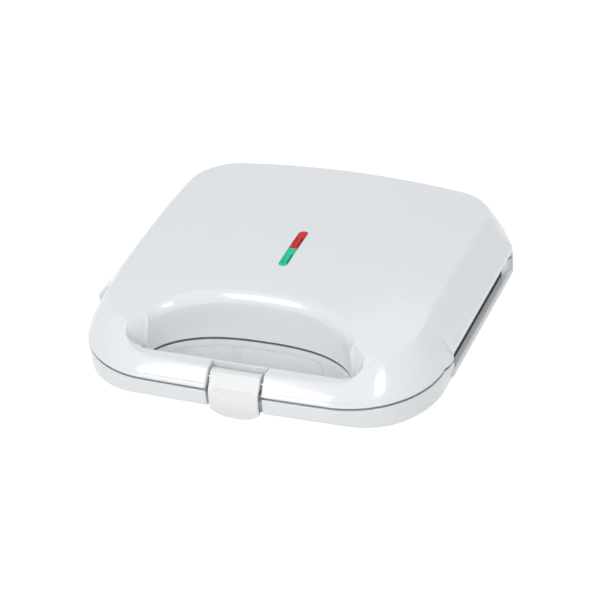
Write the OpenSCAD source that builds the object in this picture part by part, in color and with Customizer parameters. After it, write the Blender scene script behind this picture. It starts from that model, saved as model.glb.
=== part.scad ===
// Donut maker: two hinged halves with heated plates, a hand opening and a front latch.
// Millimetres. +Z up, front latch at -Y, hinge at +Y, origin on the table under the middle.

/* [Housing] */
// Width of the housing where the two halves meet
body_w = 225; // [220:1:236]
// Depth of the housing, from the front bar to the rear wall
body_d = 222.5; // [219:0.5:232]
// Radius of the front corners seen from above
front_r = 53.5; // [48:0.5:56]
// Radius of the rear corners seen from above
rear_r = 38; // [34:0.5:42]
// How far the front edge bows forward at its middle
front_bow = 3.2; // [1:0.1:4]
// How far the rear edge bows backward at its middle
rear_bow = 3.5; // [1:0.1:4]
// Wall thickness of both housings
wall = 2.5; // [2:0.1:2.8]
// Gap between the rims of the two halves
rim_gap = 1.6; // [1.2:0.1:2]
// Thickness of the flat deck around the plates
deck_t = 2; // [1.6:0.1:2.4]

/* [Lid] */
// Height of the lid's crown above the parting plane
lid_h = 36; // [34:0.5:42]
// Distance from the front edge to the crown's highest line
crest_front = 116; // [112:0.5:120]
// Fall of the crown towards each side
side_drop = 6.5; // [3:0.5:8]
// Fall of the crown towards the front
front_drop = 6.5; // [4:0.5:8]
// Fall of the crown towards the rear
rear_drop = 5; // [3:0.5:7]
// Width of the shoulder in front
front_shoulder = 26; // [22:0.5:28]
// Width of the shoulder at the sides
side_shoulder = 13.5; // [12:0.5:16]
// Width of the shoulder at the rear
rear_shoulder = 12; // [11:0.5:14]

/* [Base] */
// Depth of the base under the front bar
bar_base_h = 12.5; // [11:0.5:14]
// Depth of the base's outer wall
base_wall_h = 16.2; // [15:0.5:18]
// Depth of the base's pan below the parting plane
pan_h = 31; // [30.5:0.5:36]
// Height of the rubber feet
foot_h = 5; // [3:0.5:10]
// Radius of the rubber feet
foot_r = 9; // [6:0.5:10]
// Distance of the feet from the middle plane
foot_x = 76; // [60:1:78]
// Distance of the feet from the plate's front and rear
foot_in = 20; // [18:1:30]

/* [Hand opening] */
// Width of the hand opening
open_w = 135; // [130:1:138]
// Distance from the front edge to the opening's rear wall
open_back = 55.5; // [53:0.5:57]
// Depth of the front bar
bar_d = 16.5; // [15.5:0.5:18]
// Height of the lid's front bar above the parting plane
bar_h = 12; // [11.5:0.5:14]
// Radius of the hollow from the bar up to the opening's ends
bar_blend = 14; // [11:0.5:16]
// Slope of the flat bevel along the bar
bevel = 1.6; // [1.2:0.05:2]
// Rounding of the opening's upper rim
rim_r = 4.2; // [2:0.2:5]

/* [Side windows] */
// Distance from the front edge to the window's front end
window_front = 66.5; // [64:0.5:72]
// Distance from the rear edge to the window's rear end
window_rear = 38; // [37:1:66]
// Height of the lid's edge above the parting plane at the window
window_up = 4.7; // [3.5:0.1:6]
// Depth of the base's edge below the parting plane at the window
window_down = 8; // [6:0.1:9]
// How far the lips along the windows stand out
lip_out = 1.9; // [1:0.1:2.5]

/* [Plates] */
// Gap from the housing's side to the plate's side
plate_inset = 3.2; // [3:0.1:5]
// Distance from the front edge to the plate's front
plate_front = 62.5; // [62:0.5:66]
// Distance from the rear edge to the plate's rear
plate_rear = 12; // [10:0.5:14]
// Gap between the two plates
plate_gap = 1; // [0.6:0.1:2]
// Thickness of the plates
plate_t = 2.5; // [2:0.1:3]
// Height of the plate's skirt
skirt_h = 8; // [7:0.5:8.5]
// Radius of a donut's ring
donut_r = 20.5; // [18:0.5:21]
// Radius of a donut's tube
donut_tube = 10; // [8:0.5:10]
// Land between the outer cavities and the plate's sides
land_x = 6.8; // [6:0.1:9]
// Land between the cavities and the plate's front and rear
land_y = 7.5; // [6.5:0.1:9]

/* [Heating] */
// Radius of the heating tube
heater_r = 3.3; // [2.8:0.1:3.5]
// Thickness of the heat shield's sheet
sheet_t = 0.8; // [0.5:0.1:1]
// Radius of the thermostat
stat_r = 8; // [6:0.5:9]
// Height of the thermostat
stat_h = 7; // [5:0.5:8]
// Distance of the fixing posts from the plate's front and rear
post_in = 8; // [8:0.5:10]
// Radius of the fixing posts
post_r = 4; // [3.4:0.1:4.4]
// Radius of the fixing screws
screw_r = 1.5; // [1.2:0.1:1.6]

/* [Latch] */
// Width of the latch
latch_w = 31.5; // [28:0.5:36]
// Clearance at each side of the latch
latch_side = 1.7; // [1:0.1:2]
// Thickness of the latch's front leaf
latch_t = 2.3; // [2:0.1:2.4]
// How far the latch stands ahead of the front edge
latch_out = 1.7; // [1.6:0.1:3]
// Depth of the latch's lower end below the parting plane
latch_down = 18.2; // [16:0.1:20]
// How far the latch's lower lip curls back
latch_curl = 2.5; // [1:0.1:2.6]
// Radius of the latch's pin
latch_pin_r = 1.25; // [1:0.05:1.5]

/* [Hinge] */
// Distance of the hinge axis behind the rear edge
hinge_back = 7; // [6.5:0.5:9]
// Radius of the hinge barrels
hinge_r = 6.5; // [6:0.1:6.9]
// Radius of the hinge pins
hinge_pin_r = 2; // [1.5:0.1:2.5]
// Distance of each hinge from the middle plane
hinge_x = 62; // [56:1:64]
// Length of the lid's hinge barrel
knuckle_l = 15; // [12:0.5:18]
// Length of each base barrel beside it
lug_l = 8; // [6:0.5:10]
// Side clearance between hinge barrels
hinge_side = 0.3; // [0.2:0.1:0.5]

/* [Lamp window] */
// Length of the lamp window
lens_l = 40; // [34:0.5:44]
// Width of the lamp window
lens_w = 6; // [5:0.1:8]
// Distance from the front edge to the window's front end
lens_front = 87.5; // [84:0.5:96]

/* [Cord inlet] */
// Radius of the hole for the power cord
cord_r = 3.1; // [2.8:0.1:3.2]
// Distance of the cord inlet from the middle plane
inlet_x = 30; // [28:0.5:32]
// Depth of the inlet below the parting plane
inlet_down = 8.5; // [8:0.1:9]

/* [Clearances] */
// Clearance around the plates and lenses
seat_gap = 0.3; // [0.2:0.05:0.4]
// Radial clearance of a turning pin
run_gap = 0.05; // [0.02:0.01:0.08]
// Radial clearance around a screw or a fixed pin
fix_gap = 0.02; // [0.01:0.01:0.03]

/* [Hidden] */
$fn = 48;

// Places in the row frame
hw = body_w / 2;
half_d = (latch_out + body_d + hinge_back + hinge_r) / 2;
front_y = latch_out - half_d;
rear_y = front_y + body_d;
hinge_y = rear_y + hinge_back;
parting_z = pan_h + foot_h;
half_gap = rim_gap / 2;
open_hw = open_w / 2;
bar_y = front_y + bar_d;
back_y = front_y + open_back;
open_power = 2.5;
open_lead = 8;
open_y = bar_y - open_lead;
open_rise = back_y - open_y;
crest_y = front_y + crest_front;
window_y = front_y + window_front;
window_end = rear_y - window_rear;
window_l = window_end - window_y;
plate_y = front_y + plate_front;
plate_d = body_d - plate_front - plate_rear;
plate_cy = plate_y + plate_d / 2;
plate_hw = hw - plate_inset;
cavity_r = donut_r + donut_tube;
pitch_x = plate_hw - cavity_r - land_x;
pitch_y = plate_d - 2 * (cavity_r + land_y);
foot_dy = plate_d / 2 - foot_in;
plate_front_r = 12;
plate_rear_r = 38;
lip_h = 4.2;
rim_h = 0.6;

// Outline of the housing: bowed front and rear, corner arcs that meet them on the tangent
front_flat = hw - front_r;
rear_flat = hw - rear_r;
function front_edge(x) = front_y + front_bow * pow(x / hw, 2);
function rear_edge(x) = rear_y - rear_bow * pow(x / hw, 2);
function bow_angle(bow, x) = atan(2 * bow * x / (hw * hw));
front_turn = bow_angle(front_bow, front_flat);
rear_turn = bow_angle(rear_bow, rear_flat);
front_arc = front_r / (1 - sin(front_turn));
rear_arc = rear_r / (1 - sin(rear_turn));
front_c = [hw - front_arc, front_edge(front_flat) + front_arc * cos(front_turn)];
rear_c = [hw - rear_arc, rear_edge(rear_flat) - rear_arc * cos(rear_turn)];
function unit(v) = v / norm(v);
function clamp(v) = min(1, max(0, v));
function smooth(v) = let(c = clamp(v)) c * c * (3 - 2 * c);
function turned(a) = [cos(a), sin(a)];

// Hand opening: straight along the bar, a small corner, then a superellipse over the back
corner_q = 0.3;
arch_q = 0.4;
corner_lead = 5.5;
corner_rise = 6;
arch_start = asin(pow((open_lead + corner_rise) / open_rise, open_power / 2));
function arch(t) = [open_hw * pow(cos(t), 2 / open_power),
  open_y + open_rise * pow(sin(t), 2 / open_power)];
function arch_normal(t) = unit([pow(cos(t), 2 - 2 / open_power) / open_hw,
  pow(sin(t), 2 - 2 / open_power) / open_rise]);
corner_a = [open_hw - corner_lead, bar_y];
corner_c = arch(arch_start);
corner_b = [corner_c.x, bar_y];
function curve_point(t) = (1 - t) * (1 - t) * corner_a + 2 * t * (1 - t) * corner_b + t * t * corner_c;
function curve_normal(t) = let(v = (1 - t) * (corner_b - corner_a) + t * (corner_c - corner_b))
  unit([v.y, -v.x]);
function rim_point(q) = q <= corner_q ? [corner_a.x * q / corner_q, bar_y]
  : q < arch_q ? curve_point((q - corner_q) / (arch_q - corner_q))
  : arch(arch_start + (90 - arch_start) * (q - arch_q) / (1 - arch_q));
function rim_normal(q) = q <= corner_q ? [0, -1]
  : q < arch_q ? curve_normal((q - corner_q) / (arch_q - corner_q))
  : arch_normal(arch_start + (90 - arch_start) * (q - arch_q) / (1 - arch_q));

// Stations round half of the outline: [outline point, outward normal, opening parameter, shoulder]
flat_q = corner_q * front_flat / corner_a.x;
turn_q = 0.55;
side_q = 0.72;
rear_q = 0.84;
corner_shoulder = 17;
flare_ramp = 3.6;
flare_lead = 3.1;
function flare(y) = lip_out * smooth((y - window_y + flare_lead + flare_ramp) / flare_ramp)
  * (1 - smooth((y - window_end - 1) / (flare_ramp + 1)));
function mix(a, b, t) = a + (b - a) * t;
function front_station(x) = let(a = bow_angle(front_bow, x))
  [[x, front_edge(x)], [sin(a), -cos(a)], corner_q * x / corner_a.x, front_shoulder];
function front_corner_station(t) = let(a = mix(front_turn - 90, 0, t), e = pow(t, 0.62))
  [front_c + front_arc * turned(a), turned(a), mix(flat_q, turn_q, e),
  t < 0.5 ? mix(front_shoulder, corner_shoulder, smooth(2 * t))
  : mix(corner_shoulder, side_shoulder, 2 * t - 1)];
function side_station(y) = let(t = (y - front_c.y) / (rear_c.y - front_c.y))
  [[hw + flare(y), y], [1, 0], mix(turn_q, side_q, t), side_shoulder];
function rear_corner_station(t) = let(a = mix(0, 90 - rear_turn, t), p = rear_c + rear_arc * turned(a))
  [p + flare(p.y) * turned(a), turned(a), mix(side_q, rear_q, t), mix(side_shoulder, rear_shoulder, t)];
function rear_corner_at(y) = rear_corner_station(asin((y - rear_c.y) / rear_arc) / (90 - rear_turn));
function rear_station(x) = let(a = bow_angle(rear_bow, x))
  [[x, rear_edge(x)], [sin(a), cos(a)], mix(1, rear_q, x / rear_flat), rear_shoulder];
step = 0.15;
side_ys = [window_y - flare_lead - flare_ramp, window_y - flare_lead - flare_ramp / 2,
  window_y - flare_lead, window_y - step, window_y + step, mix(window_y, window_end, 0.2),
  mix(window_y, window_end, 0.4), mix(window_y, window_end, 0.6), mix(window_y, window_end, 0.8)];
end_ys = [window_end - step, window_end + step, window_end + 2.5, window_end + 4.5, window_end + 7];
half_stations = concat(
  [for (x = [0, 18, 36, 50]) front_station(x)],
  [for (t = [0:1 / 14:1]) front_corner_station(t)],
  [for (y = side_ys) side_station(y)],
  [for (y = end_ys) y > rear_c.y ? rear_corner_at(y) : side_station(y)],
  [for (t = [0.38:0.62 / 6:1.001]) rear_corner_station(min(t, 1))],
  [for (x = [54, 36, 18, 0]) rear_station(x)]);
last = len(half_stations) - 1;
function mirrored(s) = [[-s[0].x, s[0].y], [-s[1].x, s[1].y], s[2], s[3], -1];
stations = concat([for (s = half_stations) concat(s, [1])],
  [for (i = [last - 1:-1:1]) mirrored(half_stations[i])]);
function flip(v, s) = [v.x * s[4], v.y];
function rim_at(s) = flip(rim_point(s[2]), s);
function into_wall(s) = flip(rim_normal(s[2]), s);
function in_window(y) = y > window_y && y < window_end;
function loop_points(inset) = [for (s = stations) s[0] - s[1] * inset];
function opening_points(outset) = [for (s = stations) rim_at(s) + into_wall(s) * outset];

// Height of the lid's skin above the parting plane, at a place and a distance from the outline
front_power = 1.28;
side_power = 1.2;
function crown(p) = let(v = p.y - crest_y) lid_h - side_drop * pow(p.x / 100, 2)
  - (v < 0 ? front_drop * pow(v / 84, 2) : rear_drop * pow(v / 92, 2));
function shoulder_power(s) = mix(side_power, front_power, smooth((s[3] - side_shoulder) / 6));
function rise(t, p) = pow(1 - pow(1 - clamp(t), p), 1 / p);
hollow_lead = 5;
hollow_r = 12;
hollow_turn = 0.91 * bar_blend;
hollow_slope = hollow_turn / sqrt(bar_blend * bar_blend - hollow_turn * hollow_turn);
function ring_reach(p) = open_hw * (pow(pow(abs(p.x) / open_hw, open_power)
  + pow(max(p.y - open_y, 0) / open_rise, open_power), 1 / open_power) - 1);
function hollow_reach(p) = let(side = ring_reach(p) + hollow_lead + pow(max(p.y - bar_y - 3, 0), 2) / 20)
  norm([max(side + hollow_r, 0), max(bar_y + 2 - p.y, 0)]) - hollow_r;
function bar_floor(p) = let(e = max(hollow_reach(p), 0), turn = min(e, hollow_turn))
  bar_h + bar_blend - sqrt(bar_blend * bar_blend - turn * turn) + hollow_slope * (e - turn);
function bevelled(s) = s[0].y < back_y ? 1 - smooth((abs(s[0].x) - 62) / 22) : 0;
function edge_z(s) = in_window(s[0].y) ? window_up : half_gap;
function lip_top(s) = edge_z(s) + (in_window(s[0].y) ? lip_h : rim_h);
function skin(p, d, s) = let(z = mix(lip_top(s), crown(p), rise(d / s[3], shoulder_power(s))))
  min(mix(z, min(z, lip_top(s) + bevel * d), bevelled(s)), bar_floor(p));
function rim_round(s) = mix(1.5, rim_r, smooth((rim_at(s).y - bar_y - 5) / 14));

// One section of the lid, from its outer edge over the crown, down the opening and back inside
function lid_section(s) = let(
  w = min(s[3], 0.6 * norm(rim_at(s) - s[0])),
  f = rim_round(s),
  top = s[0] - s[1] * w,
  rim = rim_at(s) + into_wall(s) * f,
  span = norm(rim - top),
  rim_z = skin(rim, w + span, s),
  q = rim_at(s),
  q_in = q + into_wall(s) * wall,
  in_w = w - wall)
  [for (v = concat(
    [[s[0], edge_z(s)], [s[0], lip_top(s)]],
    [for (t = [0.08, 0.2, 0.35, 0.5, 0.7, 1]) [s[0] - s[1] * w * t, skin(s[0] - s[1] * w * t, w * t, s)]],
    [for (t = [0.15, 0.35, 0.6, 0.8, 1]) let(p = mix(top, rim, t)) [p, skin(p, w + span * t, s)]],
    [for (a = [30, 60, 90]) [q + into_wall(s) * f * (1 - sin(a)), rim_z - f * (1 - cos(a))]],
    [[q, half_gap], [q_in, half_gap], [q_in, rim_z - f - 0.4 * wall]],
    [for (t = [1, 0.66, 0.33]) let(p = mix(top, rim + into_wall(s) * 0.8 * wall, t))
      [p, skin(p, w + span * t - wall, s) - wall]],
    [for (t = [1, 0.5, 0.2, 0.07]) let(d = wall + in_w * t, p = s[0] - s[1] * d)
      [p, max(edge_z(s) + t, skin(p, d - 0.8 * wall, s) - 0.9 * wall)]],
    [[s[0] - s[1] * wall, edge_z(s)]]))
    [v[0].x, v[0].y, parting_z + v[1]]];

// Depth of the base's underside below the parting plane
pan_start = 9;
pan_run = 9;
pan_lead = 18;
function wall_depth(p) = p.y > window_y ? base_wall_h
  : mix(bar_base_h, base_wall_h, smooth((abs(p.x) - 55) / 45));
function underside(p, d) = let(e = wall_depth(p))
  mix(e, pan_h, smooth((d - pan_start) / pan_run) * smooth((p.y - back_y + pan_lead) / (0.8 * pan_lead)));
function base_edge(s) = in_window(s[0].y) ? window_down : half_gap;
ledge_d = 5.4;
ledge_in = 0.8;

// One section of the base, from its rim down the wall, under the pan, up the opening and back inside
function base_section(s) = let(
  q = rim_at(s),
  m = into_wall(s),
  e = wall_depth(s[0]),
  w = min(pan_start + pan_run, 0.6 * norm(q - s[0])),
  top = s[0] - s[1] * w,
  rim = q + m * (ledge_in + 1.5),
  span = norm(rim - top),
  rim_d = underside(rim, w + span),
  q_in = q + m * (ledge_in + wall),
  floor_d = underside(q_in, w + span) - wall)
  [for (v = concat(
    [[s[0], base_edge(s)], [s[0] - s[1] * 0.2, mix(base_edge(s), e, 0.4)], [s[0] - s[1] * 0.7, 0.86 * e],
      [s[0] - s[1] * 1.6, 0.96 * e], [s[0] - s[1] * 3, e]],
    [for (t = [0.4, 0.6, 0.8, 1]) [s[0] - s[1] * w * t, underside(s[0] - s[1] * w * t, w * t)]],
    [for (t = [0.12, 0.25, 0.4, 0.55, 0.7, 0.85, 1]) let(p = mix(top, rim, t))
      [p, underside(p, w + span * t)]],
    [[q + m * ledge_in, rim_d - 1.5], [q + m * ledge_in, ledge_d + 0.4], [q, ledge_d], [q, half_gap]],
    [[q_in, half_gap], [q_in, floor_d]],
    [for (t = [0.8, 0.6, 0.4, 0.2]) let(p = mix(top, q_in, t)) [p, underside(p, w + span * t) - wall]],
    [for (t = [1, 0.7, 0.45]) let(d = max(w * t, wall + t), p = s[0] - s[1] * d)
      [p, underside(p, d) - wall]],
    [[s[0] - s[1] * wall, e - wall - 0.5], [s[0] - s[1] * wall, base_edge(s)]]))
    [v[0].x, v[0].y, parting_z - v[1]]];

// A closed ring of sections becomes one solid
module ring_solid(sections, flipped = false) {
  rows = len(sections[0]);
  n = len(sections);
  points = [for (c = sections) for (p = c) p];
  function at(c, r) = (c % n) * rows + r % rows;
  polyhedron(points, [for (c = [0:n - 1]) for (r = [0:rows - 1]) for (k = [0, 1])
    let(a = at(c, r), b = at(c + 1, r), d = at(c + 1, r + 1), e = at(c, r + 1))
    k == 0 ? (flipped ? [a, b, d] : [a, d, b]) : (flipped ? [a, d, e] : [a, e, d])], convexity = 8);
}

// Flat plan of the plates, grown by a margin
module plate_plan(grow = 0) {
  w = plate_hw + grow;
  y0 = plate_y - grow;
  y1 = plate_y + plate_d + grow;
  rf = plate_front_r + grow;
  rr = plate_rear_r + grow;
  translate([-w + rf, y0]) square([2 * (w - rf), rf + 1]);
  translate([-w, y0 + rf]) square([2 * w, y1 - y0 - rf - rr]);
  translate([-w + rr, y1 - rr - 1]) square([2 * (w - rr), rr + 1]);
  for (s = [-1, 1]) {
    translate([s * (w - rf), y0 + rf]) circle(rf, $fn = 64);
    translate([s * (w - rr), y1 - rr]) circle(rr, $fn = 64);
  }
}

// Flat deck that joins the housing's wall to the plate's pocket
module deck_plan() {
  difference() {
    polygon(loop_points(wall / 2));
    polygon(opening_points(wall / 2));
    plate_plan(seat_gap);
    for (s = [-1, 1]) translate([s > 0 ? plate_hw - 2 : -hw - 6, window_y]) square([12, window_l]);
  }
}
module window_ledges() {
  for (s = [-1, 1]) {
    x = plate_hw + seat_gap;
    translate([s > 0 ? x : -hw, window_y]) cube([hw - x, window_l, deck_t]);
  }
}
module upper_half() { translate([0, 0, parting_z]) children(); }
module lower_half() { translate([0, 0, parting_z]) mirror([0, 0, 1]) children(); }

// Heated half in its own frame: z = 0 at the parting plane, positive towards the housing's shell
bowl_t = 2;
skirt_t = 2.2;
plate_back = plate_gap / 2 + plate_t;
heater_z = donut_tube + bowl_t + heater_r + 0.05;
shield_z = heater_z + heater_r + 0.2;
shield_wall_z = 13;
post_z = shield_z - 4;
loop_x = pitch_x + donut_r;
loop_y = pitch_y / 2 + donut_r;
loop_r = 24;
loop_gap = 12;
small_screw_r = 1.1;
small_head_r = 2.3;
shield_post_r = 3;
boss_r = post_r + 1.4;
boss_gap = 0.5;
head_r = 3;
head_t = 1.4;
fix_x = pitch_x / 2;
post_dy = plate_d / 2 - post_in;
fix_places = [for (x = [-fix_x, fix_x]) for (y = [-post_dy, post_dy]) [x, plate_cy + y]];
shield_places = [for (x = [-fix_x, fix_x]) for (y = [-pitch_y / 2, pitch_y / 2]) [x, plate_cy + y]];
donut_places = [for (i = [-1:1]) for (j = [-0.5, 0.5]) [i * pitch_x, plate_cy + j * pitch_y]];

module rod(r, l) { translate([-l / 2, 0, 0]) rotate([0, 90, 0]) cylinder(r = r, h = l); }
module rod_y(r, y0, y1) { translate([0, y0, 0]) rotate([-90, 0, 0]) cylinder(r = r, h = y1 - y0); }
module at_places(places) { for (p = places) translate([p.x, p.y, 0]) children(); }
module column(r, z0, z1) { translate([0, 0, z0]) cylinder(r = r, h = z1 - z0); }

// Ring bowl behind one donut cavity
module donut_bowl() {
  rotate_extrude($fn = 72) difference() {
    translate([donut_r, 0]) circle(donut_tube + bowl_t, $fn = 48);
    translate([0, -2 * donut_tube]) square([2 * donut_r + 20, 2 * donut_tube + plate_gap / 2]);
  }
}
module donut_ring() { rotate_extrude($fn = 72) translate([donut_r, 0]) circle(donut_tube, $fn = 48); }

// Die-cast plate with its ring cavities; the upper one is drilled through for screws from its face
module plate_half(drilled) {
  difference() {
    union() {
      translate([0, 0, plate_gap / 2]) linear_extrude(plate_t) plate_plan();
      translate([0, 0, plate_gap / 2]) linear_extrude(skirt_h) difference() {
        plate_plan();
        plate_plan(-skirt_t);
      }
      at_places(donut_places) donut_bowl();
      at_places(fix_places) column(post_r, plate_back - 1, post_z);
      at_places(shield_places) column(shield_post_r, plate_back - 1, shield_z);
    }
    at_places(donut_places) donut_ring();
    at_places(shield_places) column(small_screw_r + fix_gap, shield_z - 6, shield_z + 1);
    at_places(fix_places) {
      column(screw_r + fix_gap, drilled ? -1 : post_z - 7, post_z + 1);
      if (drilled) column(head_r + fix_gap, -1, plate_gap / 2 + head_t);
    }
  }
}

// Tubular heater pressed along the outer bottoms of the bowls, open at the rear for its ends
module heater_half() {
  translate([0, plate_cy, heater_z]) {
    for (s = [-1, 1]) {
      for (t = [-1, 1]) translate([s * (loop_x - loop_r), t * (loop_y - loop_r), 0])
        rotate([0, 0, s > 0 ? (t > 0 ? 0 : -90) : (t > 0 ? 90 : 180)])
          rotate_extrude(angle = 90, $fn = 64) translate([loop_r, 0]) circle(heater_r, $fn = 32);
      translate([s * loop_x, 0, 0]) rod_y(heater_r, loop_r - loop_y, loop_y - loop_r);
      translate([s * (loop_gap + loop_x - loop_r) / 2, loop_y, 0]) rod(heater_r, loop_x - loop_r - loop_gap);
    }
    translate([0, -loop_y, 0]) rod(heater_r, 2 * (loop_x - loop_r));
  }
}
collar_l = 5;
collar_r = heater_r - 0.3;
pin_l = 4;
terminal_r = 1.2;
module heater_ends_half() {
  for (s = [-1, 1]) translate([0, plate_cy + loop_y, heater_z]) {
    translate([s * (loop_gap - collar_l / 2), 0, 0]) rod(collar_r, collar_l);
    translate([s * (loop_gap - collar_l - pin_l / 2), 0, 0]) rod(terminal_r, pin_l);
  }
}

// Sheet tray that covers the heater and is screwed to the plate's inner posts
module tray_plan(grow = 0) {
  w = loop_x + heater_r + 1.7 + grow;
  d = loop_y + heater_r + 1.2 + grow;
  r = loop_r + heater_r + 1.5 + grow;
  translate([-w + r, -d]) square([2 * (w - r), 2 * d]);
  translate([-w, -d + r]) square([2 * w, 2 * (d - r)]);
  for (s = [-1, 1]) for (t = [-1, 1]) translate([s * (w - r), t * (d - r)]) circle(r, $fn = 64);
}
lead_hole_r = 7;
lead_hole_y = plate_cy + loop_y - 17;
module heat_shield_half() {
  difference() {
    translate([0, plate_cy, 0]) {
      translate([0, 0, shield_z]) linear_extrude(sheet_t) tray_plan(sheet_t);
      translate([0, 0, shield_wall_z]) linear_extrude(shield_z - shield_wall_z + sheet_t / 2) difference() {
        tray_plan(sheet_t);
        tray_plan();
      }
    }
    at_places(shield_places) column(small_screw_r + fix_gap, shield_z - 1, shield_z + sheet_t + 1);
    at_places(fix_places) column(boss_r + boss_gap, shield_wall_z - 1, shield_z + sheet_t + 1);
    translate([0, lead_hole_y, shield_z - 1]) cylinder(r = lead_hole_r, h = sheet_t + 2);
  }
}
module shield_screws_half() {
  at_places(shield_places) {
    column(small_screw_r, shield_z - 5, shield_z + sheet_t);
    column(small_head_r, shield_z + sheet_t, shield_z + sheet_t + 1.3);
  }
}
module thermostat_half() {
  translate([fix_x, plate_cy, plate_back]) {
    cylinder(r = stat_r, h = 0.7 * stat_h);
    cylinder(r = 0.7 * stat_r, h = stat_h);
    for (s = [-1, 1]) translate([s * 0.45 * stat_r - 0.4, -2.5, 0.7 * stat_h]) cube([0.8, 5, stat_h]);
  }
}

// Places of the hinge, the latch pin and the wire passage
pin_z = 5.5;
pin_back = 7;
notch_hw = latch_w / 2 + latch_side;
bar_skin = wall - 0.3;
cheek_t = 2;
catch_back = 4.1;
catch_gap = 0.3;
hook_in = 2.2;
catch_front = hook_in + catch_gap;
notch_wall_t = 2;
conduit_l = 14;
conduit_bore = 3.4;
conduit_x = 8;
lead_r = 1.5;
passage_r = 2.2;
passage_z = half_gap + 3;
barrel_l = knuckle_l / 2 + hinge_side;
lug_mid = barrel_l + lug_l / 2;

// Barrel on the hinge axis with a web back into the housing; up is 1 on the lid and -1 on the base
module barrel(x, l, up) {
  web_y = rear_y - 3;
  web_z = 8;
  translate([x, hinge_y, parting_z]) rod(hinge_r, l);
  translate([x - l / 2, 0, parting_z]) rotate([90, 0, 90]) linear_extrude(l)
    polygon([[web_y, up * half_gap], [web_y, up * web_z], [hinge_y, up * hinge_r], [hinge_y, up * half_gap]]);
}
module hinge_bore(x, l, r) { translate([x, hinge_y, parting_z]) rod(r, l); }

// Passage for the wires: along Y through the rear wall, then along the hinge axis
module wire_passage(side) {
  reach = conduit_l - 2;
  translate([side * (reach / 2 - 0.5), hinge_y, parting_z]) rod(conduit_bore, reach + 1);
  translate([side * conduit_x, 0, parting_z + side * passage_z]) rod_y(passage_r, rear_y - 9, hinge_y);
}

screw_hole_z = 22;
module base_housing() {
  color("whitesmoke") difference() {
    union() {
      ring_solid([for (s = stations) base_section(s)], true);
      lower_half() translate([0, 0, half_gap]) linear_extrude(deck_t) deck_plan();
      lower_half() translate([0, 0, window_down]) window_ledges();
      lower_half() at_places(fix_places) column(boss_r, post_z, pan_h - wall / 2);
      for (s = [-1, 1]) for (t = [-1, 1]) barrel(s * hinge_x + t * lug_mid, lug_l, -1);
      barrel(-(conduit_l + hinge_side / 2) / 2, conduit_l - hinge_side / 2, -1);
      translate([-notch_hw - notch_wall_t, front_y + catch_back, parting_z - bar_base_h + 1])
        cube([2 * (notch_hw + notch_wall_t), notch_wall_t, bar_base_h - 1 - half_gap]);
      for (s = [-1, 1]) translate([s > 0 ? notch_hw : -notch_hw - notch_wall_t, front_y + 1.5,
        parting_z - bar_base_h + 1]) cube([notch_wall_t, catch_back, bar_base_h - 1 - half_gap]);
    }
    translate([-notch_hw, front_y - 5, parting_z - bar_base_h - 5])
      cube([2 * notch_hw, 5 + catch_back, bar_base_h + 5]);
    lower_half() at_places(fix_places) {
      column(screw_r + fix_gap, post_z - 1, pan_h);
      column(head_r + 0.6, screw_hole_z, pan_h + 1);
    }
    for (s = [-1, 1]) for (t = [-1, 1])
      hinge_bore(s * hinge_x + t * lug_mid, lug_l + 1, hinge_pin_r + fix_gap);
    wire_passage(-1);
    translate([-inlet_x, 0, parting_z - inlet_down]) square_y(gland_r + fix_gap, rear_y - 9, rear_y + 2);
  }
  catch_ledge();
}
// Ledge over the latch's hook, seated on the notch's rear wall
module catch_ledge() {
  color("whitesmoke") translate([-notch_hw, front_y + catch_front, parting_z - 9])
    cube([2 * notch_hw, catch_back - catch_front, 5]);
}

// Strain relief: a square neck in the rear wall with a flange on each side and a round bore
gland_r = cord_r + 1;
gland_rim = 1.4;
inner_flange_r = base_wall_h - wall - 0.6 - inlet_down;
module square_y(r, y0, y1) { translate([-r, y0, -r]) cube([2 * r, y1 - y0, 2 * r]); }
module cord_gland() {
  wall_y = rear_edge(inlet_x);
  color("dimgray") translate([-inlet_x, 0, parting_z - inlet_down]) difference() {
    union() {
      square_y(gland_r, wall_y - wall - 2, wall_y + 2);
      square_y(inner_flange_r, wall_y - wall - 2, wall_y - wall - 0.4);
      square_y(gland_r + gland_rim, wall_y + 0.2, wall_y + 2);
    }
    rod_y(cord_r, wall_y - wall - 3, wall_y + 3);
  }
}
module feet_pair(side) {
  color("dimgray") for (s = [-1, 1]) translate([s * foot_x, plate_cy + side * foot_dy, 0])
    cylinder(r = foot_r, h = foot_h);
}
module hinge_pins() {
  color("silver") for (s = [-1, 1]) translate([s * hinge_x, hinge_y, parting_z])
    rod(hinge_pin_r, 2 * (barrel_l + lug_l) - 1);
}
module lower_plate_screws() {
  color("silver") lower_half() at_places(fix_places) {
    column(screw_r, post_z - 6, screw_hole_z);
    column(head_r, screw_hole_z, screw_hole_z + 2);
  }
}
module upper_plate_screws() {
  color("silver") upper_half() at_places(fix_places) {
    column(screw_r, plate_gap / 2 + head_t, post_z + 8);
    column(head_r, plate_gap / 2, plate_gap / 2 + head_t);
  }
}
fuse_r = 2;
module thermal_fuse() {
  color("tan") lower_half() translate([-fix_x, plate_cy, plate_back + fuse_r]) {
    rod(fuse_r, 12);
    rod(0.5, 22);
  }
}
block_l = 24;
block_d = 12;
block_h = 7.5;
block_y = plate_cy + loop_y - 9;
module terminal_block() {
  color("ivory") translate([-block_l / 2, block_y, foot_h + wall]) difference() {
    cube([block_l, block_d, block_h]);
    for (x = [4, 12, 20]) translate([x, block_d / 2, block_h - 3]) cylinder(r = 2, h = 4);
  }
}

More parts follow.
